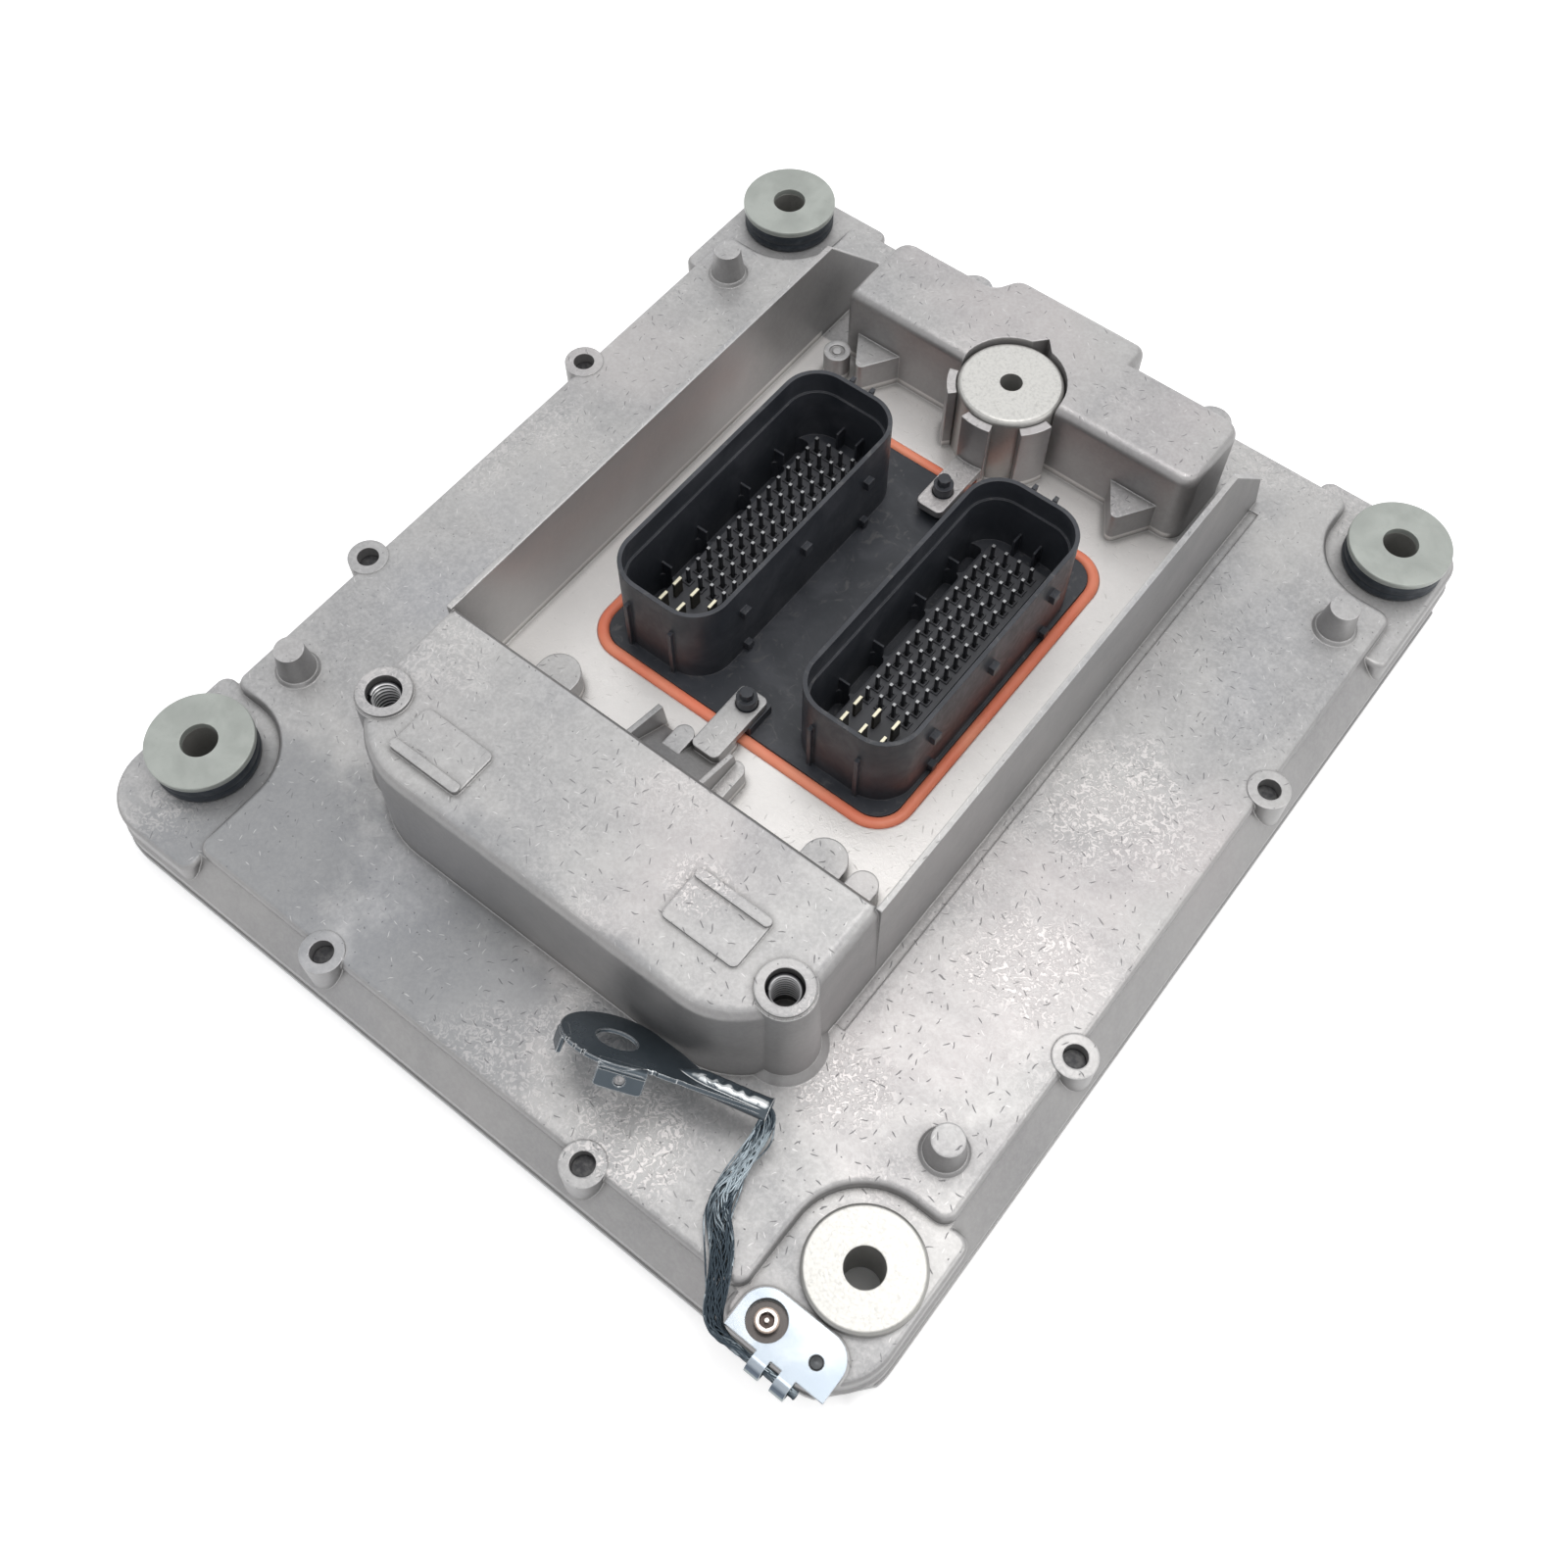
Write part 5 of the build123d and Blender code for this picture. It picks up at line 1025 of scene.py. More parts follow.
class Surface:
    """Grids of points and their faces, gathered into one mesh."""

    def __init__(self) -> None:
        """Start with nothing."""
        self.points: list[np.ndarray] = []
        self.faces: list[list[int]] = []
        self.count = 0

    def add(self, grid: np.ndarray, close_rows: bool = False, caps: bool = False) -> None:
        """Add a grid whose every row is a closed ring.

        Point (i, j) joins (i, j + 1), (i + 1, j + 1) and (i + 1, j), with j taken round the ring.

        Args:
            grid: Rows of rings of points in millimetres.
            close_rows: Whether the last row joins the first.
            caps: Whether the first and last row are closed by one face each.
        """
        rows, ring = grid.shape[:2]
        row = np.arange(rows if close_rows else rows - 1)[:, None]
        step = np.arange(ring)[None, :]
        after = (row + 1) % rows
        side = (step + 1) % ring
        quads = np.stack([row * ring + step, row * ring + side, after * ring + side, after * ring + step], axis=-1)
        self.faces += (quads.reshape(-1, 4) + self.count).tolist()
        if caps:
            first = np.arange(ring)[::-1] + self.count
            self.faces += [first.tolist(), (np.arange(ring) + self.count + (rows - 1) * ring).tolist()]
        self.points.append(grid.reshape(-1, 3))
        self.count += rows * ring

    def object(self, name: str, crease: float = 40.0, outward: bool = True) -> bpy.types.Object:
        """Make the object.

        Args:
            name: Name of the object.
            crease: Angle in degrees above which an edge stays sharp.
            outward: Whether to turn the faces of closed shells outwards.

        Returns:
            The new object at the origin.
        """
        mesh = bpy.data.meshes.new(name)
        mesh.from_pydata((np.concatenate(self.points) * MM).tolist(), [], self.faces)
        if outward:
            shell = bmesh.new()
            shell.from_mesh(mesh)
            bmesh.ops.recalc_face_normals(shell, faces=shell.faces)
            shell.to_mesh(mesh)
            shell.free()
        mesh.polygons.foreach_set("use_smooth", np.full(len(mesh.polygons), True))
        mesh.set_sharp_from_angle(angle=math.radians(crease))
        mesh.update()
        piece = bpy.data.objects.new(name, mesh)
        bpy.context.scene.collection.objects.link(piece)
        return piece


def unit(vectors: np.ndarray) -> np.ndarray:
    """Vectors made one long."""
    return vectors / np.linalg.norm(vectors, axis=-1, keepdims=True)


def spline_line(points: Sequence[Place], resolution: int) -> np.ndarray:
    """Follow the smooth spline that has the given control points.

    Args:
        points: Control points in millimetres.
        resolution: Steps for each control point.

    Returns:
        Points on the line, in millimetres.
    """
    curve = bpy.data.curves.new("route", "CURVE")
    curve.dimensions = "3D"
    spline = curve.splines.new("NURBS")
    spline.points.add(len(points) - 1)
    for control, point in zip(spline.points, points):
        control.co = (*(value * MM for value in point), 1.0)
    spline.order_u = 3
    spline.use_endpoint_u = True
    spline.resolution_u = resolution
    holder = bpy.data.objects.new("route", curve)
    mesh = bpy.data.meshes.new_from_object(holder)
    line = np.array([vertex.co for vertex in mesh.vertices]) / MM
    bpy.data.objects.remove(holder)
    bpy.data.meshes.remove(mesh)
    return line


def even_line(line: np.ndarray, step: float) -> np.ndarray:
    """Space the points of a line evenly.

    Args:
        line: Points on the line.
        step: Wanted distance between points.

    Returns:
        Evenly spaced points.
    """
    lengths = np.linalg.norm(np.diff(line, axis=0), axis=1)
    along = np.concatenate([[0.0], np.cumsum(lengths)])
    wanted = np.linspace(0.0, along[-1], max(int(along[-1] / step), 2) + 1)
    return np.stack([np.interp(wanted, along, line[:, axis]) for axis in range(line.shape[1])], axis=1)


def tube(centre: np.ndarray, across: np.ndarray, radius: float, sides: int) -> np.ndarray:
    """Carry a circle along a line: the circle's plane is across the heading.

    Args:
        centre: Points of the line.
        across: A direction at each point that is never the heading.
        radius: Radius of the tube.
        sides: Points of the circle.

    Returns:
        Grid of rings.
    """
    heading = unit(np.gradient(centre, axis=0))
    first = unit(np.cross(heading, across))
    second = np.cross(heading, first)
    turn = np.linspace(0, TURN, sides, endpoint=False)
    circle = first[:, None] * np.cos(turn)[None, :, None] + second[:, None] * np.sin(turn)[None, :, None]
    return centre[:, None] + radius * circle


@dataclass(frozen=True)
class Wave:
    """Sine along a line.

    Attributes:
        height: Half of the way from its lowest to its highest value.
        rate: Turn in radians for each unit along the line.
        shift: Turn in radians for each count of what it belongs to.
    """

    height: float
    rate: float
    shift: float = 0.0

    def at(self, along: np.ndarray, count: int = 1) -> np.ndarray:
        """Its values along the line."""
        return self.height * np.sin(along * self.rate + count * self.shift)


@dataclass(frozen=True)
class EarthBraid:
    """Flat woven braid from the ring terminal to the crimp loops.

    Attributes:
        route: Control points of its line in millimetres.
        width: Width of the flat braid.
        thickness: Thickness of the flat braid.
        carriers: Bundles that run each way round.
        strands: Wires in a bundle.
        lay: Length of one turn of a bundle.
        wire: Radius of a wire.
        sides: Corners of a wire's section.
        spacing: Distance between the wires of a bundle as a share of their radius.
        weave: Share of the thickness that a wire lifts where it crosses over.
        sways: Waves that each wire makes on its own.
        loft: Share of the sway that goes through the thickness.
        drift: Wave of the tone along a bundle.
        step: Distance between the rings of a wire.
        window: Rings that the schedules below are averaged over.
        twist: Share of the length and turn in degrees of the flat side from level.
        gather: Share of the length and share of the full width.
        painted_sheen: Share of the length and what it adds to the tone of the wires, as a painted highlight.
        stray: Places along, side and lift of the wires that have come loose.
    """

    route: tuple[Place, ...] = (
        (63.0, -104.45, 33.0),
        (65.9, -103.9, 32.8),
        (66.9, -107.6, 31.0),
        (67.2, -114.4, 27.6),
        (67.6, -124.6, 24.7),
        (74.0, -129.9, 24.2),
        (77.8, -136.1, 22.8),
        (80.9, -142.9, 19.7),
        (87.0, -143.5, 17.6),
        (95.0, -143.1, 17.5),
        (103.4, -143.15, 17.5),
    )
    width: float = 5.8
    thickness: float = 1.7
    carriers: int = 7
    strands: int = 4
    lay: float = 52.0
    wire: float = 0.21
    sides: int = 5
    spacing: float = 1.95
    weave: float = 0.18
    sways: tuple[Wave, ...] = (Wave(0.20, 0.71, 2.4), Wave(0.10, 1.7, 1.3))
    loft: float = 0.6
    drift: Wave = Wave(0.16, 0.45, 1.7)
    step: float = 0.34
    window: int = 15
    twist: tuple[tuple[float, float], ...] = (
        (0.0, 20.0), (0.07, 30.0), (0.15, 62.0), (0.24, 48.0), (0.32, 8.0), (0.50, -6.0),
        (0.62, 4.0), (0.70, 38.0), (0.78, 78.0), (1.0, 88.0),
    )
    gather: tuple[tuple[float, float], ...] = (
        (0.0, 0.58), (0.05, 0.62), (0.14, 0.80), (0.30, 0.86), (0.42, 0.96), (0.60, 0.80), (0.76, 0.66), (0.84, 0.62),
        (1.0, 0.62),
    )
    painted_sheen: tuple[tuple[float, float], ...] = (
        (0.0, -0.2), (0.10, 0.05), (0.18, 0.28), (0.26, 0.22), (0.36, -0.16), (0.75, -0.22), (0.86, 0.1), (1.0, 0.0),
    )
    stray: tuple[tuple[float, float, float, float], ...] = (
        (0.34, 0.60, 1.18, 0.5), (0.06, 0.20, -1.15, 0.7), (0.24, 0.40, -1.12, 0.4), (0.10, 0.30, 1.12, -0.3),
    )

    def _line(self) -> np.ndarray:
        """Evenly spaced points on the line."""
        return even_line(spline_line(self.route, 24), self.step)

    def _schedule(self, pairs: Sequence[tuple[float, float]], count: int) -> np.ndarray:
        """Follow pairs of share and value smoothly: linear between them, then averaged over a window."""
        shares, values = np.array(pairs).T
        raw = np.interp(np.linspace(0, 1, count), shares, values)
        padded = np.pad(raw, self.window // 2, mode="edge")
        return np.convolve(padded, np.ones(self.window) / self.window, mode="valid")

    def _frames(self, line: np.ndarray) -> tuple[np.ndarray, np.ndarray]:
        """Directions across the width and through the thickness.

        The level direction across the heading is turned about the heading by the twist.

        Args:
            line: Points on the line.

        Returns:
            Directions across and through, one of each for every point.
        """
        heading = unit(np.gradient(line, axis=0))
        level = unit(np.cross(heading, [0.0, 0.0, 1.0]))
        out = np.cross(level, heading)
        twist = np.radians(self._schedule(self.twist, len(line)))[:, None]
        return level * np.cos(twist) + out * np.sin(twist), out * np.cos(twist) - level * np.sin(twist)

    def _wires(self, line: np.ndarray) -> list[tuple[np.ndarray, np.ndarray]]:
        """Centre lines of all wires, each with its directions through the braid.

        A wire goes round a flat ellipse once in each lay, lifts where it crosses over the bundles that
        run the other way, and sways a little on its own.

        Args:
            line: Points on the line.

        Returns:
            Pairs of centre line and directions.
        """
        side, normal = self._frames(line)
        share = self._schedule(self.gather, len(line))
        along = np.arange(len(line)) * self.step
        half, thick = self.width / 2 - self.wire, self.thickness / 2 - self.wire
        wires = []
        for way in (1, -1):
            for carrier in range(self.carriers):
                phase = TURN * (carrier + (0.5 if way < 0 else 0.0)) / self.carriers
                for strand in range(self.strands):
                    count = carrier * 7 + strand + (50 if way < 0 else 0)
                    sway = sum(wave.at(along, count) for wave in self.sways)
                    spread = (strand - (self.strands - 1) / 2) * self.wire * self.spacing + sway
                    angle = phase + way * TURN * along / self.lay + spread / half
                    weave = np.sin(self.carriers * way * angle / 2 + (0 if way > 0 else math.pi))
                    across = np.cos(angle) * half * share
                    through = np.sin(angle) * thick * (1 + self.weave * weave) + self.loft * sway
                    wires.append((line + side * across[:, None] + normal * through[:, None], normal))
        for low, high, edge, lift in self.stray:
            first, last = int(low * len(line)), int(high * len(line))
            rise = np.sin(np.linspace(0, math.pi, last - first))
            across = np.sign(edge) * (half * share[first:last] + (abs(edge) - 1) * self.width * rise)
            centre = line[first:last] + side[first:last] * across[:, None]
            wires.append((centre + normal[first:last] * (lift * rise)[:, None], normal[first:last]))
        return wires

    def build(self, palette: Palette, terminal: bpy.types.Object) -> None:
        """Args:
            palette: Finished materials.
            terminal: Ring terminal on its end; not used.
        """
        line = self._line()
        surface = Surface()
        tones = []
        for index, (centre, normal) in enumerate(self._wires(line)):
            surface.add(tube(centre, normal, self.wire, self.sides), caps=True)
            bundle = index // self.strands
            tone = 0.42 + 0.10 * math.sin(bundle * 2.4) + 0.30 * math.sin(index * 12.9)
            drift = self.drift.at(np.arange(len(centre)) * self.step, bundle)
            # Painted highlight: the sheen lightens the wires along parts of the braid.
            painted_sheen = np.interp(np.linspace(0, 1, len(centre)), *np.array(self.painted_sheen).T)
            tones.append(np.repeat(tone + drift + painted_sheen, self.sides))
        piece = surface.object("earthing_braid", 180.0, outward=False)
        attribute = piece.data.attributes.new(TONE, "FLOAT", "POINT")
        attribute.data.foreach_set("value", np.clip(np.concatenate(tones), 0.0, 1.0).astype(np.float32))
        palette.dress(piece, Slot.BRAID)
        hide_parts("strap_braid")


@dataclass(frozen=True)
class RingTerminal:
    """Plated ring terminal with a long neck, a rolled barrel with crimp dents, and two folded tabs.

    Attributes:
        centre: Middle of the ring in millimetres.
        along: Direction of the neck.
        down: Direction across the plate towards its low edge.
        radius: Radius of the ring.
        bore: Radius of its hole.
        thickness: Thickness of the sheet.
        bevel: Width of the broken edges.
        neck: Corners of the neck in the plane of the plate, along and across.
        notches: Angle in degrees and depth of the small notches in the rim.
        notch: Half of a notch's width in degrees.
        barrel_across: Place of the barrel's axis across the neck.
        barrel: Outer profile of the barrel: place along the neck, and radius.
        hollow: Inner profile of the barrel, from its mouth inwards.
        dents: Places of the crimp dents along the neck.
        dent: Depth of a dent, its half length, its half width in radians and its place round the barrel in degrees.
        tabs: Angle, offset, width, height and hole radius of the folded tabs.
        bend: Inner radius of their folds.
        lap: How far the drilled flap laps over its fold.
        square: Power that makes the flap's outline nearly square.
    """

    centre: Place = (30.7, -112.1, 33.5)
    along: Place = (0.967, 0.250, -0.040)
    down: Place = (-0.187, 0.599, -0.778)
    radius: float = 12.6
    bore: float = 4.65
    thickness: float = 1.0
    bevel: float = 0.16
    neck: tuple[tuple[float, float], ...] = (
        (4.6, -8.6), (8.2, -8.2), (34.6, -3.45), (35.4, -2.6), (35.4, 0.4), (21.0, 1.6), (13.6, 7.0), (7.3, 10.4),
    )
    notches: tuple[tuple[float, float], ...] = (
        (-131.0, 0.6), (-118.0, 0.45), (-106.0, 0.7), (-33.0, 0.5), (-21.0, 0.5),
    )
    notch: float = 1.5
    barrel_across: float = -1.0
    barrel: tuple[tuple[float, float], ...] = (
        (14.8, 0.35), (16.2, 1.05), (18.0, 1.8), (19.6, 2.3), (21.2, 2.52), (34.4, 2.55), (35.3, 2.62), (36.0, 2.9),
    )
    hollow: tuple[tuple[float, float], ...] = ((36.0, 2.4), (35.2, 2.0), (34.4, 1.9), (24.0, 1.9), (23.6, 0.4))
    dents: tuple[float, ...] = (22.0, 24.6, 27.9, 30.6)
    dent: tuple[float, float, float, float] = (0.5, 0.7, 0.5, 104.0)
    tabs: tuple[tuple[float, float, float, float, float], ...] = (
        (-72.0, 1.8, 10.6, 5.6, 1.15), (-153.0, 0.0, 6.0, 4.6, 0.0),
    )
    bend: float = 0.5
    lap: float = 0.3
    square: int = 9

    def _place(self, local: np.ndarray) -> np.ndarray:
        """Carry points from the plane of the plate to the part: along, across and out of it."""
        along = unit(np.array(self.along))
        out = unit(np.cross(self.along, self.down))
        axes = np.stack([along, np.cross(out, along), out])
        return np.array(self.centre) + local @ axes

    def _holed(self, angle: np.ndarray, outline: np.ndarray, hole: float) -> np.ndarray:
        """Plate with a round hole: a bevelled section carried round from the hole to the outline.

        Args:
            angle: Angles of the outline's points.
            outline: Distance of the outline from the hole's centre at each angle.
            hole: Radius of the hole.

        Returns:
            Grid of points: two coordinates in the plate, and one out of it.
        """
        half, bevel = self.thickness / 2, self.bevel
        near = np.full_like(outline, hole)
        rims = (near, near, near + bevel, outline - bevel, outline, outline, outline - bevel, near + bevel)
        reach = np.stack(rims, axis=1)
        low, high = -half + bevel, half - bevel
        level = np.broadcast_to([low, high, half, half, high, low, -half, -half], reach.shape)
        turn = angle[:, None]
        return np.stack([reach * np.cos(turn), reach * np.sin(turn), level], axis=-1)

    def _plate(self) -> np.ndarray:
        """Ring and neck: at each angle the outline is the further of the circle and the neck's corners."""
        angle = np.linspace(-math.pi, math.pi, 720, endpoint=False)
        neck = even_line(np.array(self.neck), 0.1)
        reach = np.interp(angle, np.arctan2(neck[:, 1], neck[:, 0]), np.hypot(neck[:, 0], neck[:, 1]), 0.0, 0.0)
        outline = np.maximum(reach, self.radius)
        for place, depth in self.notches:
            outline = outline - depth * (np.abs(np.degrees(angle) - place) < self.notch)
        return self._holed(angle, outline, self.bore)

    def _barrel(self) -> np.ndarray:
        """Profile turned round the neck's axis, pressed in by a bell-shaped dent at each crimp."""
        turn = np.linspace(0, TURN, 48, endpoint=False)
        outer = even_line(np.array(self.barrel), 0.3)
        profile = np.concatenate([outer, np.array(self.hollow)])
        x, radius = profile[:, :1], np.repeat(profile[:, 1:], len(turn), axis=1)
        depth, half_length, half_turn, place = self.dent
        top = np.exp(-(((turn - math.radians(place)) / half_turn) ** 2))[None, :]
        for dent in self.dents:
            radius[: len(outer)] -= depth * np.exp(-(((outer[:, :1] - dent) / half_length) ** 2)) * top
        across = self.barrel_across + radius * np.cos(turn)
        return np.stack([np.broadcast_to(x, radius.shape), across, radius * np.sin(turn)], axis=-1)

    def _fold(self, width: float, length: float) -> np.ndarray:
        """Fold of a tab: sheet that leaves the rim level, turns down through a quarter circle and goes straight.

        Args:
            width: Width of the tab.
            length: Length of its straight part.

        Returns:
            Grid of points: outwards from the rim, along the rim, and out of the plate.
        """
        half = self.thickness / 2
        quarter = np.linspace(math.pi / 2, 0, 9)
        sides = []
        for radius in (self.bend + self.thickness, self.bend):
            arc = np.stack([radius * np.cos(quarter), radius * np.sin(quarter) - self.bend - half], axis=1)
            level = [[-0.5, arc[0, 1] - 0.06]]
            straight = [[radius, arc[-1, 1] - length]]
            sides.append(np.concatenate([level, arc, straight]))
        section = np.concatenate([sides[0], sides[1][::-1]])
        place = np.array([-width / 2, -width / 2 + self.bevel, width / 2 - self.bevel, width / 2])
        inset = np.array([self.bevel, 0.0, 0.0, self.bevel])
        middle = section.mean(axis=0)
        shrunk = section + unit(middle - section)[None] * inset[:, None, None]
        along = np.broadcast_to(place[:, None], shrunk.shape[:2])
        return np.stack([shrunk[..., 0], along, shrunk[..., 1]], axis=-1)

    def _tab(self, surface: Surface, angle: float, offset: float, width: float, height: float, hole: float) -> None:
        """Add one folded tab, with its flap drilled where it has a hole.

        Args:
            surface: Surface that takes the tab.
            angle: Place of the tab round the ring in degrees.
            offset: Shift along the rim.
            width: Width of the tab.
            height: Depth below the plate's top.
            hole: Radius of its hole, or 0.
        """
        turn = math.radians(angle)
        axes = np.array([[math.cos(turn), math.sin(turn), 0], [-math.sin(turn), math.cos(turn), 0], [0, 0, 1]])
        start = np.array([self.radius - self.bend - self.thickness, offset, 0.0])
        drop = height - self.bend - self.thickness
        surface.add(self._place((self._fold(width, self.lap if hole else drop) + start) @ axes), caps=True)
        if hole:
            turn_round = np.linspace(0, TURN, 96, endpoint=False)
            reach = np.stack([np.cos(turn_round) / (width / 2), np.sin(turn_round) / (drop / 2 + self.lap)])
            box = (np.abs(reach) ** self.square).sum(axis=0)
            flap = self._holed(turn_round, box ** (-1 / self.square), hole)
            grid = np.stack([flap[..., 2], flap[..., 0], flap[..., 1]], axis=-1)
            level = self.bend + self.thickness / 2
            middle = start + [level, 0.0, -level - drop / 2 + self.lap / 2]
            surface.add(self._place((grid + middle) @ axes), close_rows=True)

    def build(self, palette: Palette) -> bpy.types.Object:
        """Make the terminal, dress it and let it stand for the plain one.

        Args:
            palette: Finished materials.

        Returns:
            The new piece.
        """
        surface = Surface()
        surface.add(self._place(self._plate()), close_rows=True)
        surface.add(self._place(self._barrel()), caps=True)
        for tab in self.tabs:
            self._tab(surface, *tab)
        piece = surface.object("plated_ring", 30.0)
        palette.dress(piece, Slot.TERMINAL)
        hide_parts("ring_terminal")
        return piece


@dataclass(frozen=True)
class ThreadCoil:
    """Wire of a thread insert: a helix of rhombic wire in place of the plain tube.

    Attributes:
        side: Side of the casting.
        pitch: Pitch of the thread.
        half: Half of the wire's width.
        steps: Rings in one turn.
    """

    side: Side
    pitch: float = 1.25
    half: float = 0.52
    steps: int = 48

    def build(self, palette: Palette) -> None:
        """Carry the rhombus up a helix inside the node's box, dress it and replace the node.

        Args:
            palette: Finished materials.
        """
        node = f"thread_insert_{self.side.value}"
        low, high = (np.array(corner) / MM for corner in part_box(node))
        middle = (low + high) / 2
        turns = (high[2] - low[2] - self.pitch) / self.pitch
        angle = np.linspace(0, TURN * turns, int(turns * self.steps))[:, None]
        height = np.linspace(low[2] + self.half, high[2] - self.half, len(angle))[:, None]
        corner = np.array([[0.0, -1.0], [-1.0, 0.0], [0.0, 1.0], [0.9, 0.0]]) * self.half
        radius = (high[0] - low[0]) / 2 - self.half + corner[None, :, 0]
        x, y = middle[0] + np.cos(angle) * radius, middle[1] + np.sin(angle) * radius
        surface = Surface()
        surface.add(np.stack([x, y, height + corner[None, :, 1]], axis=-1), caps=True)
        coil = surface.object(f"thread_coil_{self.side.value}", 50.0)
        palette.dress(coil, Slot.WIRE)
        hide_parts(node)


@dataclass(frozen=True)
class SealBead:
    """Round-topped silicone bead in the gap between header and casting.

    Attributes:
        width: Width of the bead.
        corner: Radius of its corners along the middle.
        rise: Height of its round top.
        lift: Height of its foot above the node's lowest point.
        sink: How far the crown lies below the node's top.
        sways: Waves of its height from ring to ring.
        sag: How far these waves lie below the crown.
    """

    width: float = 3.0
    corner: float = 8.55
    rise: float = 1.15
    lift: float = 0.4
    sink: float = 0.08
    sways: tuple[Wave, ...] = (Wave(0.04, 0.21), Wave(0.04, 0.083, 1.0))
    sag: float = 0.08

    def _middle(self, low: np.ndarray, high: np.ndarray) -> np.ndarray:
        """Rectangle with round corners through the middle of the bead.

        Args:
            low: Lowest corner of the node's box.
            high: Highest corner of the node's box.

        Returns:
            Evenly spaced points of the outline.
        """
        half = self.width / 2
        centre = (low[:2] + high[:2]) / 2
        reach = (high[:2] - low[:2]) / 2 - half
        angle = np.linspace(0, TURN, 56, endpoint=False)
        way = np.sign(np.round(np.stack([np.cos(angle + 1e-6), np.sin(angle + 1e-6)], axis=1), 9))
        arc = self.corner * np.stack([np.cos(angle), np.sin(angle)], axis=1)
        outline = centre + way * (reach - self.corner) + arc
        return even_line(np.concatenate([outline, outline[:1]]), 1.2)[:-1]

    def build(self, palette: Palette) -> None:
        """Carry a section with an elliptic top round the outline, with a slow sway in height.

        Args:
            palette: Finished materials.
        """
        low, high = (np.array(corner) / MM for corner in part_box("header_seal"))
        line = self._middle(low, high)
        heading = unit(np.roll(line, -1, axis=0) - np.roll(line, 1, axis=0))
        outward = np.stack([heading[:, 1], -heading[:, 0]], axis=1)
        half, top, bottom = self.width / 2, high[2] - self.sink, low[2] + self.lift
        arc = np.linspace(0, math.pi, 9)
        across = np.concatenate([[half], half * np.cos(arc), [-half]])
        height = np.concatenate([[bottom], top - self.rise + self.rise * np.sin(arc), [bottom]])
        sway = sum(wave.at(np.arange(len(line))) for wave in self.sways) - self.sag
        flat = line[:, None] + outward[:, None] * across[None, :, None]
        level = height[None] + sway[:, None] * (height[None] > bottom)
        surface = Surface()
        surface.add(np.concatenate([flat, level[..., None]], axis=-1), close_rows=True)
        bead = surface.object("silicone_bead", 50.0)
        palette.dress(bead, Slot.SEAL)
        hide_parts("header_seal")


@dataclass(frozen=True)
class Isolator:
    """Washer with rolled edges on a rubber with a parting line.

    Attributes:
        corner: Corner of the casting.
        bore: Radius of the washer's hole.
        edge: Radius of the washer's outer edge.
        sleeve: Radius of the hole in the rubber.
        seat: Height of the pad that the rubber stands on.
        foot: Outline of the rubber's lower part: inset from its side, and height above the seat.
        shoulder: Outline of its upper part: inset from its side, and depth below the top.
        crown: Depth of its upper face below the top at the hole.
    """

    corner: Corner
    bore: float = 4.55
    edge: float = 0.35
    sleeve: float = 6.7
    seat: float = 18.25
    foot: tuple[Spot, ...] = ((0.5, 0.0), (0.0, 0.5), (0.0, 2.2), (0.16, 2.45), (0.16, 2.65), (0.0, 2.9))
    shoulder: tuple[Spot, ...] = ((0.0, 0.7), (0.45, 0.1))
    crown: float = 0.05

    def _turned(self, name: str, node: str, profile: np.ndarray, slot: Slot, palette: Palette) -> None:
        """Turn a closed profile of radius and height round the node's upright axis.

        Args:
            name: Name of the piece.
            node: Node that it replaces.
            profile: Points as radius and height.
            slot: Slot of its finish.
            palette: Finished materials.
        """
        low, high = (np.array(corner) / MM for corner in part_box(node))
        centre = (low + high) / 2
        angle = np.linspace(0, TURN, 160, endpoint=False)[:, None]
        x = centre[0] + np.cos(angle) * profile[None, :, 0]
        y = centre[1] + np.sin(angle) * profile[None, :, 0]
        surface = Surface()
        surface.add(np.stack([x, y, np.broadcast_to(profile[None, :, 1], x.shape)], axis=-1), close_rows=True)
        piece = surface.object(name, 60.0)
        palette.dress(piece, slot)
        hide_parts(node)

    def build(self, palette: Palette) -> None:
        """Make the washer and the upper rubber of this corner.

        Args:
            palette: Finished materials.
        """
        corner = self.corner.value
        node = f"isolator_washer_{corner}"
        low, high = (np.array(place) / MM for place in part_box(node))
        outer, top, bottom = (high[0] - low[0]) / 2, high[2], low[2]
        edge, small = self.edge, self.edge / 2
        quarter = np.linspace(0, math.pi / 2, 5)
        profile = [(self.bore, bottom), (outer - 0.3 * edge, bottom), (outer, bottom + 0.3 * edge)]
        profile += [(outer - edge + edge * math.cos(a), top - edge + edge * math.sin(a)) for a in quarter]
        profile += [(self.bore + small - small * math.sin(a), top - small + small * math.cos(a)) for a in quarter]
        self._turned(f"washer_{corner}", node, np.array(profile), Slot.WASHER, palette)
        node = f"isolator_upper_{corner}"
        low, high = (np.array(place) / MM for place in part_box(node))
        side, top = (high[0] - low[0]) / 2, high[2]
        profile = [(self.sleeve, self.seat)]
        profile += [(side - inset, self.seat + height) for inset, height in self.foot]
        profile += [(side - inset, top - depth) for inset, depth in self.shoulder]
        profile += [(self.sleeve, top - self.crown)]
        self._turned(f"rubber_{corner}", node, np.array(profile), Slot.RUBBER, palette)


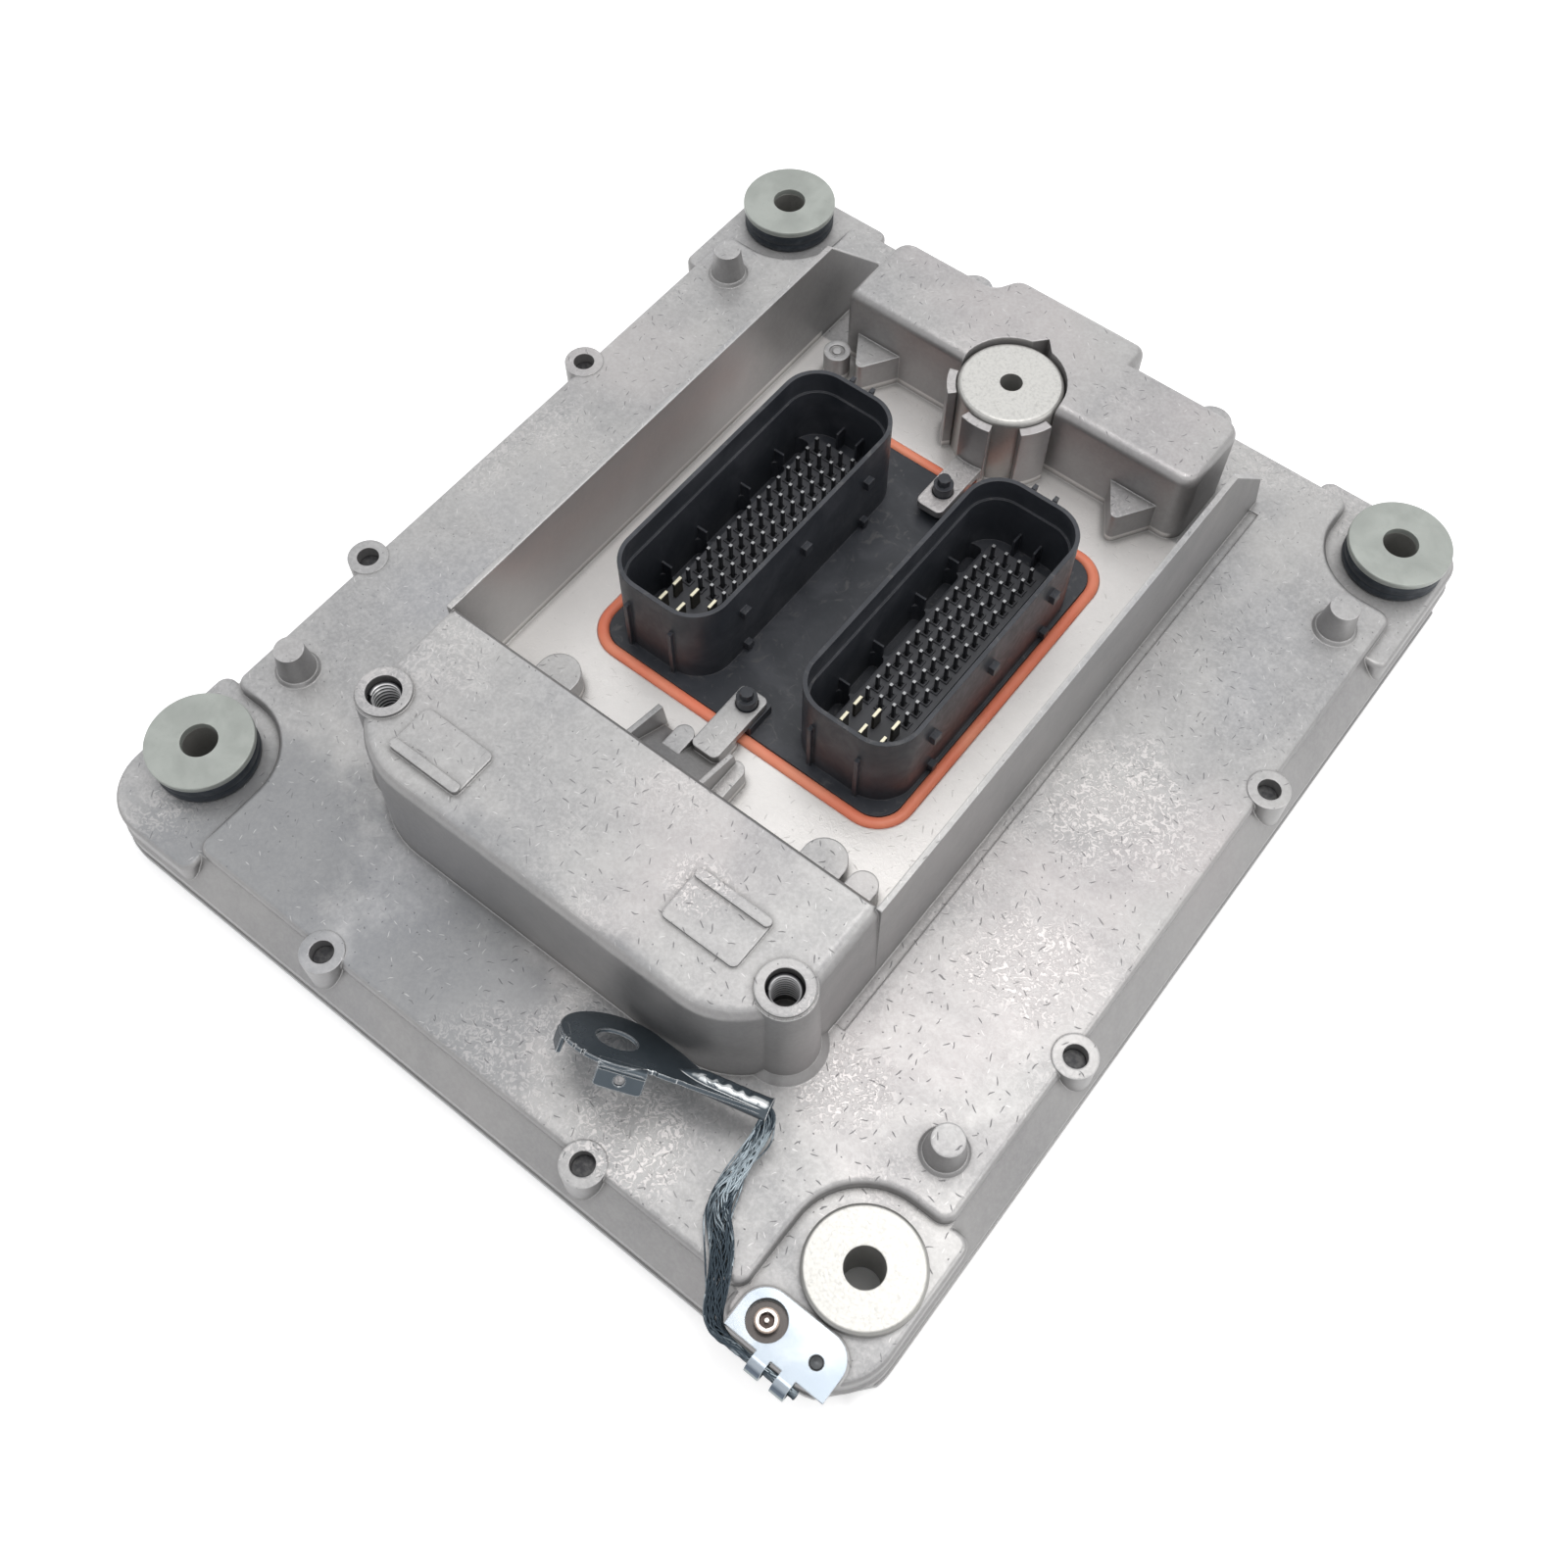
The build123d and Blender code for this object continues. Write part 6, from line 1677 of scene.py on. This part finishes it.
@dataclass(frozen=True)
class PinCollars:
    """Raised square collars that the signal pins stand in.

    Attributes:
        side: Side of the connector.
        centre_x: Middle of the right-hand connector.
        pitch: Distance between pins, across and along.
        columns: Pins across.
        rows: Pins along.
        last_y: Place of the last row.
        foot: Height of the carrier's face.
        rise: Height of the collars.
        outer: Half of a collar's width.
        inner: Half of its opening.
        bevel: Width and height of the bevels along its rim.
    """

    side: Side
    centre_x: float = 27.5
    pitch: tuple[float, float] = (3.8, 4.0)
    columns: int = 4
    rows: int = 14
    last_y: float = 41.3
    foot: float = 32.9
    rise: float = 0.6
    outer: float = 1.15
    inner: float = 0.72
    bevel: float = 0.12

    def build(self, palette: Palette) -> None:
        """Carry a section with a bevelled rim round a square, once for each pin.

        Args:
            palette: Finished materials.
        """
        middle = self.centre_x if self.side is Side.RIGHT else -self.centre_x
        outer, inner, top = self.outer, self.inner, self.foot + self.rise
        half = np.array([outer, outer, outer - self.bevel, inner + self.bevel, inner, inner])
        level = np.array([self.foot, top - self.bevel, top, top, top - self.bevel, self.foot])
        signs = np.array([(1, 1), (-1, 1), (-1, -1), (1, -1)])
        flat = signs[:, None] * half[None, :, None]
        ring = np.concatenate([flat, np.broadcast_to(level[:, None], (*flat.shape[:2], 1))], axis=2)
        surface = Surface()
        for column in range(self.columns):
            for row in range(self.rows):
                x = middle + (column - (self.columns - 1) / 2) * self.pitch[0]
                surface.add(ring + [x, self.last_y - row * self.pitch[1], 0.0], close_rows=True)
        piece = surface.object(f"pin_collars_{self.side.value}", 20.0)
        palette.dress(piece, Slot.CARRIER)


@dataclass(frozen=True)
class PhotoCamera:
    """Camera where the picture was taken from.

    Attributes:
        place: Its position in millimetres.
        right: Direction to the picture's right.
        forward: Direction that it looks in.
        focal: Focal length in pixels.
        pixels: Width of the picture in pixels.
        sensor: Width of the sensor in millimetres.
    """

    place: Place = (129.1, -181.6, 366.5)
    right: Place = (0.7879, 0.6158, 0.0028)
    forward: Place = (-0.2878, 0.3722, -0.8824)
    focal: float = 1667.47
    pixels: int = 1600
    sensor: float = 36.0

    def add(self) -> None:
        """Put the camera into the scene and use it."""
        forward = Vector(self.forward).normalized()
        right = Vector(self.right)
        right = (right - forward * right.dot(forward)).normalized()
        turn = Matrix((right, right.cross(forward), -forward)).transposed().to_4x4()
        data = bpy.data.cameras.new("camera")
        data.sensor_width = self.sensor
        data.lens = self.focal / self.pixels * self.sensor
        data.clip_start = 0.01
        data.clip_end = 20.0
        camera = bpy.data.objects.new("camera", data)
        camera.matrix_world = Matrix.Translation(Vector(self.place) * MM) @ turn
        bpy.context.scene.collection.objects.link(camera)
        bpy.context.scene.camera = camera


@dataclass(frozen=True)
class SoftLight:
    """A rectangular soft light.

    Attributes:
        name: Name of the light.
        place: Position in metres.
        target: Point that it looks at, in metres.
        size: Width and height in metres.
        power: Power in watts.
        colour: Colour of the light.
    """

    name: str
    place: Place
    target: Place
    size: tuple[float, float]
    power: float
    colour: Colour = (1.0, 1.0, 1.0)

    def add(self) -> None:
        """Put the light into the scene."""
        data = bpy.data.lights.new(self.name, "AREA")
        data.shape = "RECTANGLE"
        data.size, data.size_y = self.size
        data.energy = self.power
        data.color = self.colour
        lamp = bpy.data.objects.new(self.name, data)
        aim = Vector(self.target) - Vector(self.place)
        lamp.matrix_world = Matrix.Translation(self.place) @ aim.to_track_quat("-Z", "Y").to_matrix().to_4x4()
        bpy.context.scene.collection.objects.link(lamp)


class StudioTree(Graph):
    """Node tree of the world or the floor, which shows one surface to the eye and another to soft light."""

    def __init__(self, tree: bpy.types.NodeTree, output: str) -> None:
        """Start with the output and the share of rays that see the surface plainly.

        Camera rays, glossy rays and rays through glass all see what the eye sees.

        Args:
            tree: Tree to fill.
            output: Class name of its output node.
        """
        super().__init__(tree)
        self.choose = self.add("ShaderNodeMixShader")
        path = self.add("ShaderNodeLightPath")
        rays = (path.outputs[f"Is {kind} Ray"] for kind in ("Camera", "Glossy", "Transmission"))
        self.link(reduce(partial(self.math, "MAXIMUM"), rays), self.choose.inputs[0])
        self.link(self.choose.outputs[0], self.add(output).inputs["Surface"])

    def node(self, kind: str, **inputs) -> bpy.types.Node:
        """Add a node and set its inputs by name.

        Args:
            kind: Class name of the node.
            inputs: Names of inputs and their values or sockets.

        Returns:
            The new node.
        """
        node = self.add(kind)
        for name, value in inputs.items():
            self.feed(node.inputs[name], value)
        return node

    def join(self, soft: Socket, seen: Socket) -> None:
        """Give the soft surface and the seen one to the choice between them."""
        self.link(soft, self.choose.inputs[1])
        self.link(seen, self.choose.inputs[2])


@dataclass(frozen=True)
class Surroundings:
    """Soft light from all round, brighter above, on a white ground.

    Attributes:
        stops: Height of the direction, from 0 at the horizon to 1 above, and the light there.
        strength: Strength of the soft light.
    """

    stops: tuple[tuple[float, float], ...] = ((0.0, 0.07), (0.2, 0.11), (0.5, 0.36), (0.78, 0.86), (1.0, 1.25))
    strength: float = 1.05

    def add(self) -> None:
        """Set the world."""
        world = bpy.data.worlds.new("studio")
        bpy.context.scene.world = world
        world.use_nodes = True
        studio = StudioTree(world.node_tree, "ShaderNodeOutputWorld")
        coordinates = studio.node("ShaderNodeTexCoord")
        split = studio.node("ShaderNodeSeparateXYZ", Vector=coordinates.outputs["Generated"])
        ramp = studio.node("ShaderNodeValToRGB", Fac=split.outputs[2])
        elements = ramp.color_ramp.elements
        while len(elements) < len(self.stops):
            elements.new(0.5)
        for element, (place, value) in zip(elements, self.stops):
            element.position = place
            element.color = (value, value, value * 1.01, 1.0)
        soft = studio.node("ShaderNodeBackground", Color=ramp.outputs[0], Strength=self.strength)
        white = studio.node("ShaderNodeBackground", Color=(1.0, 1.0, 1.0), Strength=1.0)
        studio.join(soft.outputs[0], white.outputs[0])


@dataclass(frozen=True)
class PaleFloor:
    """White floor that keeps the part's shadow.

    Attributes:
        half: Half of its side in millimetres.
        drop: How far it lies below the part.
        shade: Half length and half width of the ground in the part's shade, across and along.
        fade: Width of the change from shade to glow.
        glow: Glow of the open ground.
        white: Brightness of the ground to the eye.
        dull: Brightness of the ground to soft light.
    """

    half: float = 4000.0
    drop: float = 0.05
    shade: tuple[float, float] = (104.0, 128.0)
    fade: float = 9.0
    glow: float = 0.5
    white: float = 0.85
    dull: float = 0.72

    def add(self) -> None:
        """Make the floor: a white ground whose glow fades under the part, so that shadow stays there."""
        surface = bpy.data.meshes.new("floor")
        corners = np.array([(-1, -1, 0), (1, -1, 0), (1, 1, 0), (-1, 1, 0)]) * self.half - [0, 0, self.drop]
        surface.from_pydata((corners * MM).tolist(), [], [(0, 1, 2, 3)])
        floor = bpy.data.objects.new("floor", surface)
        bpy.context.scene.collection.objects.link(floor)
        material = bpy.data.materials.new("floor")
        material.use_nodes = True
        studio = StudioTree(material.node_tree, "ShaderNodeOutputMaterial")
        coordinates = studio.node("ShaderNodeTexCoord")
        split = studio.node("ShaderNodeSeparateXYZ", Vector=coordinates.outputs["Object"])
        beyond = (
            studio.math("SUBTRACT", studio.math("ABSOLUTE", split.outputs[index]), reach * MM)
            for index, reach in enumerate(self.shade)
        )
        fade = studio.node("ShaderNodeMapRange", Value=studio.math("MAXIMUM", *beyond))
        fade.inputs["From Max"].default_value = self.fade * MM
        fade.inputs["To Max"].default_value = self.glow
        dull = studio.node("ShaderNodeBsdfDiffuse", Color=(self.dull,) * 3)
        pale = studio.node("ShaderNodeBsdfDiffuse", Color=(self.white,) * 3)
        glow = studio.node("ShaderNodeEmission", Strength=fade.outputs["Result"])
        both = studio.add("ShaderNodeAddShader")
        studio.link(pale.outputs[0], both.inputs[0])
        studio.link(glow.outputs[0], both.inputs[1])
        studio.join(dull.outputs[0], both.outputs[0])
        floor.data.materials.append(material)


LIGHTS = (
    SoftLight("overhead", (0.06, 0.17, 1.05), (0.0, 0.0, 0.0), (0.46, 0.36), 1.95, (1.0, 0.975, 0.95)),
    SoftLight("left", (-1.0, -0.2, 0.75), (0.0, 0.0, 0.03), (0.7, 0.7), 0.35, (0.96, 0.98, 1.0)),
    SoftLight("right", (1.0, 0.2, 0.6), (0.0, 0.0, 0.03), (0.6, 0.6), 1.9, (1.0, 0.98, 0.96)),
)


def main() -> None:
    """Build the whole scene."""
    logging.basicConfig(level=logging.INFO)
    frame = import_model()
    bpy.context.scene.view_settings.view_transform = "Standard"
    PhotoCamera().add()
    palette = Palette()
    palette.dress_model(frame)
    EarthBraid().build(palette, RingTerminal().build(palette))
    pieces = [SealBead()]
    pieces += [ThreadCoil(side) for side in Side]
    pieces += [Isolator(corner) for corner in Corner]
    pieces += [PinCollars(side) for side in Side]
    for piece in pieces:
        piece.build(palette)
    for light in LIGHTS:
        light.add()
    Surroundings().add()
    PaleFloor().add()


if __name__ == "__main__":
    main()
